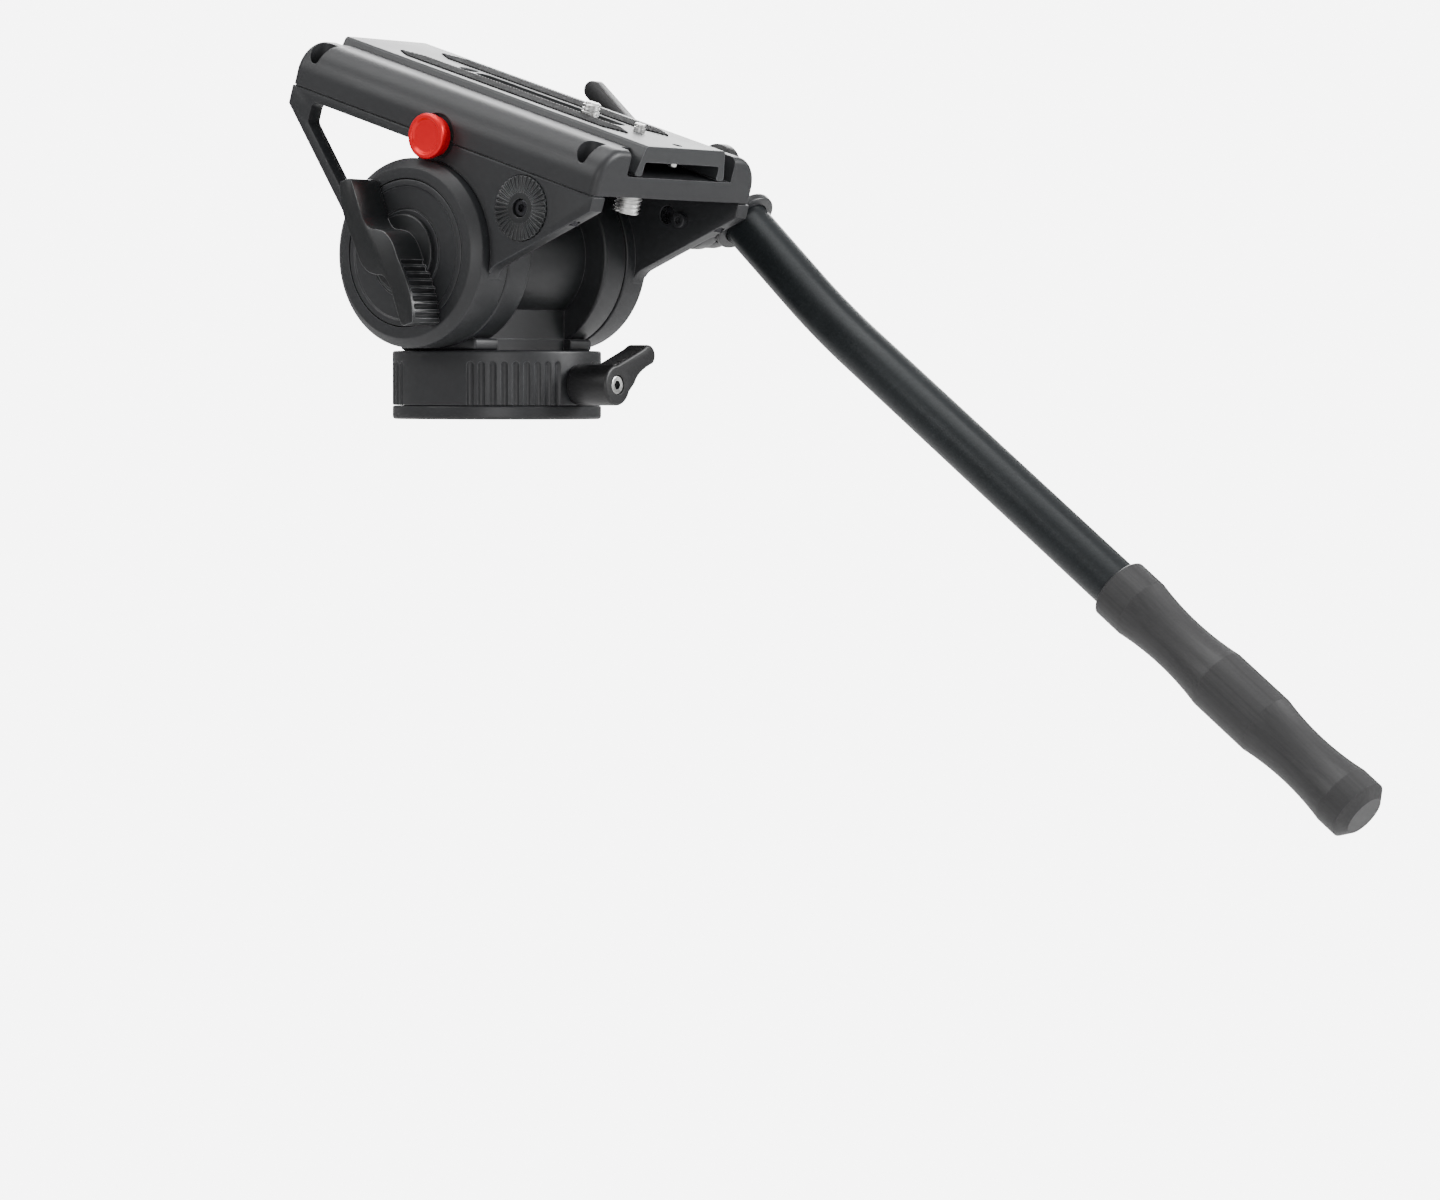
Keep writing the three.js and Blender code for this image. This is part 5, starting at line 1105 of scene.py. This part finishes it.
blade = eased(outline_body([
    *arc(0, 0, lever_boss_radius, 42, 318, 40), (lever_neck, -lever_half), (lever_arm + knee, -lever_half),
    *arc(lever_arm + lever_end * cos(lever_rise), lever_end * sin(lever_rise), lever_tip,
         rise_degrees - 90, rise_degrees + 90, 16),
    (lever_arm - knee, lever_half), (lever_neck, lever_half),
], lever_thickness), lever_edge, 35)
blade = combined(blade, [
    rod(lever_bolt_size[0] + gap, lever_bolt_seat, lever_thickness + 2, 40),
    rod(lever_bolt_way, -2, lever_thickness, 24),
])
lever_at = head_frame @ shift(lever_inner, *lever_place)
fitted(
    "plate_lever_bent", moved(blade, lever_at @ across), moulded_black, "clamp_lever", "moulding", "plate_lever",
    sharp=35,
)
fitted_screw(
    "plate_lever_socket_bolt", lever_bolt_size, lever_at @ shift(lever_thickness - gap, 0, 0) @ quarter_turn("Y"),
    screw_steel, "clamp_lever", "bright_steel", "plate_lever_bolt",
)

# Safety button: a bright red anodised cup with a raised rim and a dished face on a narrower skirt.
# Pressing it in pulls the catch out of the sliding plate's way.
button_radius = 8
button_face = 50.75
button_skirt = 45.15
button_skirt_radius = 7.15
button_skirt_wall = 1.2
button_cap_back = button_face - 2.9
button_rim = 1.25
button_dish_radius = 5.7
button_dish_floor = button_face - 0.95
button_back = 48.35
# The pinker colour on the button's edges is a painted highlight on its rim.
red_anodised = coated_metal(
    "red_anodised", (0.95, 0.002, 0.012), (0.95, 0.03, 0.04),
    roughness=0.3, metallic=0.5, grain_size=0.12, depth=0.004, cloud=0.1,
)
button = moved(turned_across([
    (0, button_back), (button_skirt_radius - button_skirt_wall, button_back),
    (button_skirt_radius - button_skirt_wall, button_skirt), *low_round(button_skirt_radius, button_skirt, 0.2, 3),
    (button_skirt_radius, button_cap_back), *arc(button_radius - 0.5, button_cap_back + 0.7, 0.5, -70, 0, 4),
    *high_round(button_radius, button_face, 0.75, 6),
    (button_radius - button_rim, button_face),
    *arc(button_radius - button_rim - 0.05, button_face - 0.5, 0.5, 90, 160, 4),
    (button_dish_radius, button_dish_floor), (2.5, button_dish_floor - 0.12), (0, button_dish_floor - 0.15),
], -1, 128), head_frame @ shift(0, *button_place))
fitted("safety_button_dished", button, red_anodised, "catch_button", "button", "safety_button", sharp=40)

# Button spring: three open turns of steel wire between the bore's floor and the cup's back.
# The real spring shortens as the button is pressed; here it stays at its rest length.
spring_floor = 42.75
spring_length = 5.25
spring_radius = 4.6
spring_wire = 0.45
spring_turns = 3
steps_each_turn = 36
spring = bmesh.new()
wire_place = shift(-spring_floor - spring_wire, spring_radius, 0)
wire_round = bmesh.ops.create_circle(spring, cap_ends=True, segments=12, radius=spring_wire, matrix=wire_place)
wire_mouth = list({edge for vert in wire_round["verts"] for edge in vert.link_edges})
wire_pitch = (spring_length - 2 * spring_wire) / spring_turns / steps_each_turn
wire_end = bmesh.ops.spin(
    spring, geom=wire_mouth, cent=(0, 0, 0), axis=(1, 0, 0), dvec=(-wire_pitch, 0, 0),
    angle=2 * pi * spring_turns, steps=spring_turns * steps_each_turn, use_merge=False,
)["geom_last"]
bmesh.ops.contextual_create(spring, geom=only(bmesh.types.BMEdge, wire_end))
moved(facing_out(spring), head_frame @ shift(0, *button_place))
spring_piece = fitted(
    "button_spring_wound", spring, screw_steel, "tilt_head", "bright_steel", "button_spring", sharp=50,
)
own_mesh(spring_piece)

# Sliding camera plate: a machined dovetail plate, hollow underneath, with a long slot for the screw.
# Its top has two seats for ribbed rubber strips, a spare hole, and a stop screw at each end.
plate_front = 73.8
plate_rear = -71.2
plate_underside = 54.5
plate_leg_bottom = 49.5
plate_inner_half = 21.2
plate_top_edge = 0.7
slot_ends = (-38, 24.5)
slot_half = 3.5
slot_recess_half = 7.6
slot_ledge = 57.5
strip_middle = 11.5
strip_half = 5.3
strip_front = 56.4
strip_rear = -53.3
strip_point = 8
strip_seat = 0.8
plate_hole_place = 32.6
plate_hole_radius = 3.3
pin_place = -49
pin_radius = 2
pin_flange = 3.2
stop_screws = {"front": (-17.4, 66.5), "rear": (-17.4, -62)}
stop_screw_radius = 1.5
stop_screw_top = 58.7
stop_screw_size = (stop_screw_radius, stop_screw_radius, stop_screw_radius, stop_screw_top - 51.1, 0.2)
peg_place = -66.8
peg_radius = 1.6
peg_end = 52.2
peg_top = plate_surface - 1.4
# The plate's light edge colour is partly wear and partly a painted highlight along its edges.
plate_black = coated_metal(
    "plate_black", (0.030, 0.032, 0.034), (0.24, 0.25, 0.26), roughness=0.42, grain_size=0.3, depth=0.014,
)


def long_slot(half, ends, bottom, top):
    """A round-ended slot along Y."""
    outline = arc(0, ends[1], half, 0, 180, 16) + arc(0, ends[0], half, 180, 360, 16)
    return outline_body(outline, top - bottom, bottom)


def strip_outline(clearance):
    """The strip, or its seat where there is clearance, with a point at each end."""
    half = strip_half + clearance
    rear, front = strip_rear - clearance, strip_front + clearance
    return [
        (0, rear), (half, rear + strip_point), (half, front - strip_point),
        (0, front), (-half, front - strip_point), (-half, rear + strip_point),
    ]


leg_foot = flank_at(plate_leg_bottom)
edge_foot = plate_surface - plate_top_edge
half_profile = [
    # (across, height), rounding
    ((plate_inner_half, plate_underside), 1.2), ((plate_inner_half, plate_leg_bottom), 0.9),
    ((leg_foot, plate_leg_bottom), 0.9), ((flank_at(edge_foot), edge_foot), 0.2),
    ((plate_half - plate_top_edge, plate_surface), 0.2),
]
rounds = [rounding for corner, rounding in half_profile]
side_profile = softened([
    (*corner, rounding)
    for corner, rounding in zip(mirrored([corner for corner, rounding in half_profile]), rounds + rounds[::-1])
], 5)
camera_plate = moved(outline_body(side_profile, plate_front - plate_rear), shift(0, plate_front, 0) @ rearwards)
under = plate_underside - 2
above = plate_surface + 2
camera_plate = moved(combined(camera_plate, [
    gathered([
        moved(outline_body(strip_outline(gap), 3, plate_surface - strip_seat), shift(side * strip_middle, 0, 0))
        for side in sides.values()
    ]),
    long_slot(slot_half, slot_ends, under, above),
    long_slot(slot_recess_half, (slot_ends[0] - slot_half, slot_ends[1] + slot_half), under, slot_ledge),
    gathered([
        moved(turned_body([
            (0, under), (plate_hole_radius, under), (plate_hole_radius, plate_surface - 0.4),
            (plate_hole_radius + 0.8, plate_surface + 0.4), (0, plate_surface + 0.4),
        ], 40), shift(0, plate_hole_place, 0)),
        moved(
            turned_body(stepped(under, (pin_flange + gap, slot_ledge), (pin_radius + gap, above)), 32),
            shift(0, pin_place, 0),
        ),
        *[
            moved(turned_body(stepped(under, (stop_screw_radius + gap, stop_screw_top + gap)), 24), shift(*place, 0))
            for place in stop_screws.values()
        ],
        moved(rod(peg_radius + gap, under, above, 32), shift(0, peg_place, 0)),
    ]),
]), head_frame)
fitted("camera_plate_milled", camera_plate, plate_black, "sliding_plate", "housing", "camera_plate", sharp=25)
for end, place in stop_screws.items():
    stop_node = f"plate_stop_screw_{end}"
    stop_screw = fitted_screw(
        f"{stop_node}_capped", stop_screw_size, head_frame @ shift(*place, stop_screw_top),
        oiled_black_steel, "sliding_plate", "black_steel", stop_node,
    )
    stop_screw.data.materials.append(screw_steel)
    shank_top = (head_frame @ Vector((*place, plate_underside))).z * 0.001
    for face in stop_screw.data.polygons:
        face.material_index = int(face.center.z < shank_top)
peg = combined(
    round_disc(peg_radius, peg_end, peg_top, (0.9, 6), (0.2, 3), 40),
    [block(-3, 3, -0.3, 0.3, peg_top - 0.8, plate_surface)],
)
fitted("plate_rear_peg", moved(peg, head_frame @ shift(0, peg_place, 0)), screw_steel, "sliding_plate", "bright_steel")

# Grip strips: black rubber inlays with fine ribs across them, pointed at both ends.
# The ribs are moulded; the strips are glued into their seats and carry a little dust in patches.
rib_step = 1.37
rib_rise = 0.38
rib_flanks = (0.36, 0.64)
strip_base = plate_surface - strip_seat + 0.3
strip_crest = plate_surface + 0.5
rib_foot = strip_crest - rib_rise
ribbed_rubber, rubber_tree, rubber_shader = new_finish("ribbed_rubber")
rubber = grained(rubber_tree, (0.016, 0.016, 0.017), 0.6, 0.3, 0.72)
rubber_dust = ranged(rubber_tree, noise(rubber_tree, 420.0, 5.0, 0.7), 0.55, 0.75, 0.0, 0.35)
fed(rubber_tree, rubber_shader, {
    "Base Color": wired(rubber_tree, "MixRGB", {
        "Fac": rubber_dust, "Color1": rubber["Color"], "Color2": (0.11, 0.11, 0.108, 1),
    })["Color"],
    "Roughness": rubber["Roughness"], "Specular IOR Level": 0.3,
    "Normal": bumped(rubber_tree, rubber["Height"], 0.4, 0.04),
})
ribs = [(strip_rear - 2, strip_base), (strip_front + 2, strip_base), (strip_front + 2, rib_foot)]
place = strip_front + 1
while place > strip_rear - 1:
    ribs += [(place, rib_foot), *[(place - rib_step * share, strip_crest) for share in rib_flanks]]
    place -= rib_step
ribs.append((strip_rear - 2, rib_foot))
for side_name, side in sides.items():
    ribbed = moved(outline_body(ribs, 2 * strip_half + 2, -strip_half - 1), across)
    strip = moved(
        combined(ribbed, [outline_body(strip_outline(0), 8, strip_base - 4)], "INTERSECT"),
        head_frame @ shift(side * strip_middle, 0, 0),
    )
    strip_node = f"grip_strip_{side_name}"
    fitted(f"{strip_node}_ribbed", strip, ribbed_rubber, "sliding_plate", "strip", strip_node, sharp=20)

# Camera screw and video pin: a quarter-inch screw that slides in the slot, and a sprung guide pin.
# Both are bright steel; the screw has a real thread and a coin slot, the pin a slotted crown.
screw_place = -26
screw_radius = 3.17
screw_core = 2.6
screw_pitch = 1.27
screw_flange = 6.9
screw_flange_bottom = 53.2
screw_flange_top = 56.2
screw_top = 64.4
coin_slot_half = 0.6
coin_slot_depth = 1.3
pin_top = 63.0
pin_flange_top = 57.2
pin_flange_bottom = pin_flange_top - 0.9
pin_crown = pin_radius - 0.35
camera_screw = combined(
    threaded_rod(screw_core, screw_radius, screw_pitch, screw_flange_top + 0.6, screw_top - 0.35),
    [turned_body([
        (0, screw_flange_bottom), *low_round(screw_flange, screw_flange_bottom, 0.5, 4),
        *high_round(screw_flange, screw_flange_top, 0.3, 3), (screw_core + 0.05, screw_flange_top),
        (screw_core + 0.05, screw_top - 0.4), (screw_core - 0.35, screw_top), (0, screw_top),
    ], 64)], "UNION",
)
camera_screw = moved(combined(camera_screw, [
    block(-9, 9, -coin_slot_half, coin_slot_half, screw_flange_bottom - 2, screw_flange_bottom + coin_slot_depth),
    block(-9, 9, -0.45, 0.45, screw_top - 0.9, screw_top + 2),
]), head_frame @ shift(0, screw_place, 0))
fitted("camera_screw_threaded", camera_screw, screw_steel, "fixing_screw", "bright_steel", "camera_screw", sharp=25)
pin = combined(turned_body([
    (0, pin_flange_bottom), (pin_flange, pin_flange_bottom), (pin_flange, pin_flange_top),
    (pin_radius, pin_flange_top), (pin_radius, pin_top - 1.5), (pin_crown, pin_top - 1.3),
    (pin_crown, pin_top - 1.0), (pin_radius, pin_top - 0.8), (pin_radius, pin_top - 0.3),
    (pin_radius - 0.3, pin_top), (0, pin_top),
], 48), [block(-5, 5, -0.35, 0.35, pin_top - 0.7, pin_top + 2)])
moved(pin, head_frame @ shift(0, pin_place, 0))
fitted("video_pin_crowned", pin, screw_steel, "pin", "bright_steel", "video_pin", sharp=30)

# Handle bracket: a cast arm with a toothed hub at one end and a sleeve for the tube at the other.
# The hub's teeth mesh with the right rosette, and a lobed knob clamps it there.
handle_drop = radians(25.4)
handle_bend = radians(-5.75)
handle_plane = 61
tube_offset = 10.4
tube_radius = 8.7
tube_wall = 1.5
tube_start = 13.2
bend_reach = 66.8
bend_run = 16
lower_reach = 153.2
bracket_hub_radius = 12
bracket_hub_start = 46.6
bracket_hub_end = 57.4
bracket_arm_inner = 50.7
bracket_arm_end = -14.6
hub_thickness = 3.3
sleeve_radius = 12.1
sleeve_start = 12
sleeve_end = 15.4
spigot_end = 30
set_screw_radius = 1.7
set_screw_back = (tube_start + sleeve_end) / 2
set_screw_length = sleeve_radius - tube_radius - gap
handle_frame = head_frame @ rosette_at @ Matrix.Rotation(handle_drop, 4, "X")
tube_line = shift(handle_plane, 0, tube_offset) @ rearwards
hub_teeth = moved(
    toothed_disc(hub_thickness - 0.05, hub_thickness - 0.5),
    shift(bracket_hub_start + hub_thickness, 0, 0) @ quarter_turn("Y", -1),
)
hub_disc = moved(round_disc(
    bracket_hub_radius, bracket_hub_start + 3, bracket_hub_end, (0.7, 4), (0.9, 5),
), across)
sleeve = moved(round_disc(sleeve_radius, sleeve_start, sleeve_end, (1.2, 6), (0.7, 4)), tube_line)
bracket_arm = moved(eased(outline_body([
    (bracket_arm_end, tube_offset + sleeve_radius / 2), (bracket_arm_end, tube_offset - sleeve_radius / 2),
    *arc(0, 0, bracket_hub_radius - 0.2, -108, 54, 24), (-sleeve_start, tube_offset + sleeve_radius / 2),
], bracket_hub_end - bracket_arm_inner, bracket_arm_inner), 0.9, 40, 3), across)
bracket = combined(hub_disc, [bracket_arm, sleeve], "UNION")
bracket = combined(bracket, [
    moved(rod(tube_radius + gap, tube_start - gap, sleeve_end + 2, 72), tube_line),
    moved(rod(handle_bolt_radius + gap, bracket_hub_start - 2, bracket_hub_end + 2, 48), across),
    moved(
        rod(set_screw_radius + gap, handle_plane, handle_plane + sleeve_radius + 2, 24),
        shift(0, -set_screw_back, tube_offset) @ across,
    ),
])
bracket = moved(combined(bracket, [
    moved(rod(tube_radius - tube_wall - gap, sleeve_start + 0.2, spigot_end, 48), tube_line), hub_teeth,
], "UNION"), handle_frame)
fitted("handle_bracket_cast", bracket, satin_black, "handle", "cover", "handle_bracket", sharp=30)
fitted_screw(
    "handle_set_screw_capped", (set_screw_radius, set_screw_length / 2, set_screw_radius, set_screw_length, 0.2),
    handle_frame @ shift(handle_plane + sleeve_radius, -set_screw_back, tube_offset) @ quarter_turn("Y"),
    oiled_black_steel, "handle", "black_steel", "handle_set_screw",
)

# Handle tube: a drawn aluminium tube, bent a little beyond the bracket and anodised dark.
# Drawing leaves faint lines along it, which the anodising keeps.
bend_start = bend_run - bend_reach
bend_radius = bend_run / tan(-handle_bend / 2)
lower_direction = Vector((0, -cos(handle_bend), -sin(handle_bend)))
grip_length = 118.5
grip_wall = 3
lower_run = lower_reach + grip_length - grip_wall - gap - bend_run
drawn_tube, tube_tree, tube_shader = new_finish("drawn_tube")
tube_lines = noise(tube_tree, 900.0, 3.0, 0.5, wired(tube_tree, "Mapping", {
    "Vector": wired(tube_tree, "TexCoord")["Object"], "Scale": (1.0, 30.0, 1.0),
    "Rotation": (-handle_drop - tilt - handle_bend / 2, 0, 0),
}, vector_type="TEXTURE")[0])
tube_coat = grained(tube_tree, (0.014, 0.017, 0.019), 0.25, 0.25, 0.36)
fed(tube_tree, tube_shader, {
    "Base Color": shaded(tube_tree, tube_coat["Color"], ranged(tube_tree, tube_lines, 0.3, 0.7, 0.85, 1.18)),
    "Roughness": tube_coat["Roughness"], "Metallic": 0.3, "Normal": bumped(tube_tree, tube_lines, 0.15, 0.01),
})
tube = bmesh.new()
tube_mouth = shift(handle_plane, -tube_start, tube_offset) @ quarter_turn("X")


def drawn_on(edges, vec):
    """Draws a ring of edges out along a line, and gives the new ring."""
    drawn = bmesh.ops.extrude_edge_only(tube, edges=edges)["geom"]
    verts = only(bmesh.types.BMVert, drawn)
    bmesh.ops.translate(tube, vec=vec, verts=verts)
    return [edge for edge in only(bmesh.types.BMEdge, drawn) if all(vert in verts for vert in edge.verts)]


mouths, ends = [], []
for radius in (tube_radius, tube_radius - tube_wall):
    ring = bmesh.ops.create_circle(tube, segments=72, radius=radius, matrix=tube_mouth)["verts"]
    edges = list({edge for vert in ring for edge in vert.link_edges})
    mouths += edges
    bent = bmesh.ops.spin(
        tube, geom=drawn_on(edges, (0, bend_start + tube_start, 0)),
        cent=(handle_plane, bend_start, tube_offset + bend_radius),
        axis=(-1, 0, 0), angle=-handle_bend, steps=12, use_merge=False,
    )["geom_last"]
    ends += drawn_on(only(bmesh.types.BMEdge, bent), lower_direction * lower_run)
for rings in (mouths, ends):
    bmesh.ops.bridge_loops(tube, edges=rings)
fitted("handle_tube_drawn", moved(facing_out(tube), handle_frame), drawn_tube, "handle", "tube", "handle_tube")

# Handle grip: a hard rubber sleeve turned on a lathe and pushed on the tube.
# It has a straight end at each side, a straight middle and two hollows for the hand, all with crisp edges.
grip_radius = 11.3
grip_waist = 9.7
grip_hollows = ((11.3, 49.4), (73.4, 110))
grip_outer_length = 120.9
grip_chamfer_along = 3.1
grip_chamfer_in = 3.8
grip_mouth = 0.5
rubber_grip, rubber_tree, rubber_shader = new_finish("rubber_grip")
rubber_turned = wired(rubber_tree, "Mapping", {
    "Vector": wired(rubber_tree, "TexCoord")["Object"], "Rotation": (-tilt - handle_drop - handle_bend, 0, 0),
})[0]
rubber_streaks = noise(rubber_tree, 1.0, 3.0, 0.6, wired(rubber_tree, "Mapping", {
    "Vector": rubber_turned, "Scale": (900.0, 14.0, 900.0),
})[0])
rubber = grained(rubber_tree, (0.032, 0.032, 0.033), 0.45, 0.12, 0.46)
fed(rubber_tree, rubber_shader, {
    "Base Color": shaded(rubber_tree, rubber["Color"], ranged(rubber_tree, rubber_streaks, 0.3, 0.7, 0.82, 1.2)),
    "Roughness": rubber["Roughness"], "Specular IOR Level": 0.5,
    "Normal": bumped(rubber_tree, rubber["Height"], 0.3, 0.03),
})


def hand_hollow(start, end):
    """Points of one hollow of the grip, an arc between two straight parts."""
    half = (end - start) / 2
    sink = grip_radius - grip_waist
    radius = (half * half + sink * sink) / (2 * sink)
    spread = degrees(asin(half / radius))
    return arc(grip_waist + radius, start + half, radius, 180 + spread, 180 - spread, 14)


grip = moved(turned_body([
    (tube_radius + gap, grip_length - grip_wall), (tube_radius + gap, grip_mouth), (tube_radius + gap + grip_mouth, 0),
    (grip_radius - grip_mouth, 0), (grip_radius, grip_mouth),
    *hand_hollow(*grip_hollows[0]), *hand_hollow(*grip_hollows[1]),
    (grip_radius, grip_outer_length - grip_chamfer_along), (grip_radius - grip_chamfer_in, grip_outer_length),
    (0, grip_outer_length), (0, grip_length - grip_wall),
], 96), handle_frame @ shift(handle_plane, -bend_reach, tube_offset) @ Matrix.Translation(lower_direction * lower_reach)
    @ Matrix.Rotation(handle_bend, 4, "X") @ rearwards)
fitted("handle_grip_turned", grip, rubber_grip, "handle", "grip", "handle_grip", sharp=6)

# Handle clamp knob: a six-lobed moulded knob on a steel bolt that crosses the bracket's hub.
# The lobes are cut between six scallops, and a shallow pool is sunk in the knob's face.
knob_radius = 11.4
knob_start = bracket_hub_end + gap
knob_end = knob_start + 9
knob_lobes = 6
knob_scallop = 3.4
knob_pool_radius = 7.2
knob_bolt_end = (knob_start + knob_end) / 2
bolt_start = plate_inner + gap
scallop_reach = knob_radius + knob_scallop / 2
clamp_knob = moved(turned_body([
    (0, knob_start), *low_round(knob_radius, knob_start, 0.8, 4), *high_round(knob_radius, knob_end, 1.4, 6),
    (knob_pool_radius, knob_end), (knob_pool_radius - 0.6, knob_end - 0.5), (0, knob_end - 0.5),
], 120), across)
scallops = gathered([
    moved(rod(knob_scallop, knob_start - 2, knob_end + 2, 36), across @ shift(x, y, 0))
    for x, y in arc(0, 0, scallop_reach, 0, 300, knob_lobes - 1)
])
bolt_bore = moved(rod(handle_bolt_radius + gap, knob_start - 2, knob_bolt_end, 32), across)
clamp_knob = moved(eased(combined(clamp_knob, [scallops, bolt_bore]), 0.45, 40), handle_frame)
fitted("handle_clamp_knob_lobed", clamp_knob, moulded_black, "handle_knob", "moulding", "handle_clamp_knob", sharp=30)
fitted_screw(
    "handle_clamp_bolt", (handle_bolt_radius, 2.4, handle_bolt_radius, knob_bolt_end - bolt_start - gap, 0.3),
    handle_frame @ shift(bolt_start, 0, 0) @ quarter_turn("Y", -1),
    oiled_black_steel, "handle_knob", "bright_steel", "handle_bolt",
)

# Pieces that stay inside: their CAD shapes are right, and each takes the finish of its own metal.
# Steel is bright or oiled black, bearings are brass, washers are pale nylon.
pale_nylon = coated_metal(
    "pale_nylon", (0.70, 0.68, 0.62), (0.78, 0.77, 0.72), roughness=0.5, grain_size=0.8, depth=0.01, cloud=0.08,
)
left_finishes = {
    "bright_steel": screw_steel, "black_steel": oiled_black_steel, "brass": turned_brass, "nylon": pale_nylon,
    "cover": satin_black, "housing": black_casting, "moulding": moulded_black,
}
slot_of_node = {row["node"]: row["material_slot"] for row in frame["record"]["subparts"]}
for node_name, left in frame["nodes"].items():
    left.data.materials.clear()
    left.data.materials.append(left_finishes.get(slot_of_node[node_name], black_casting))
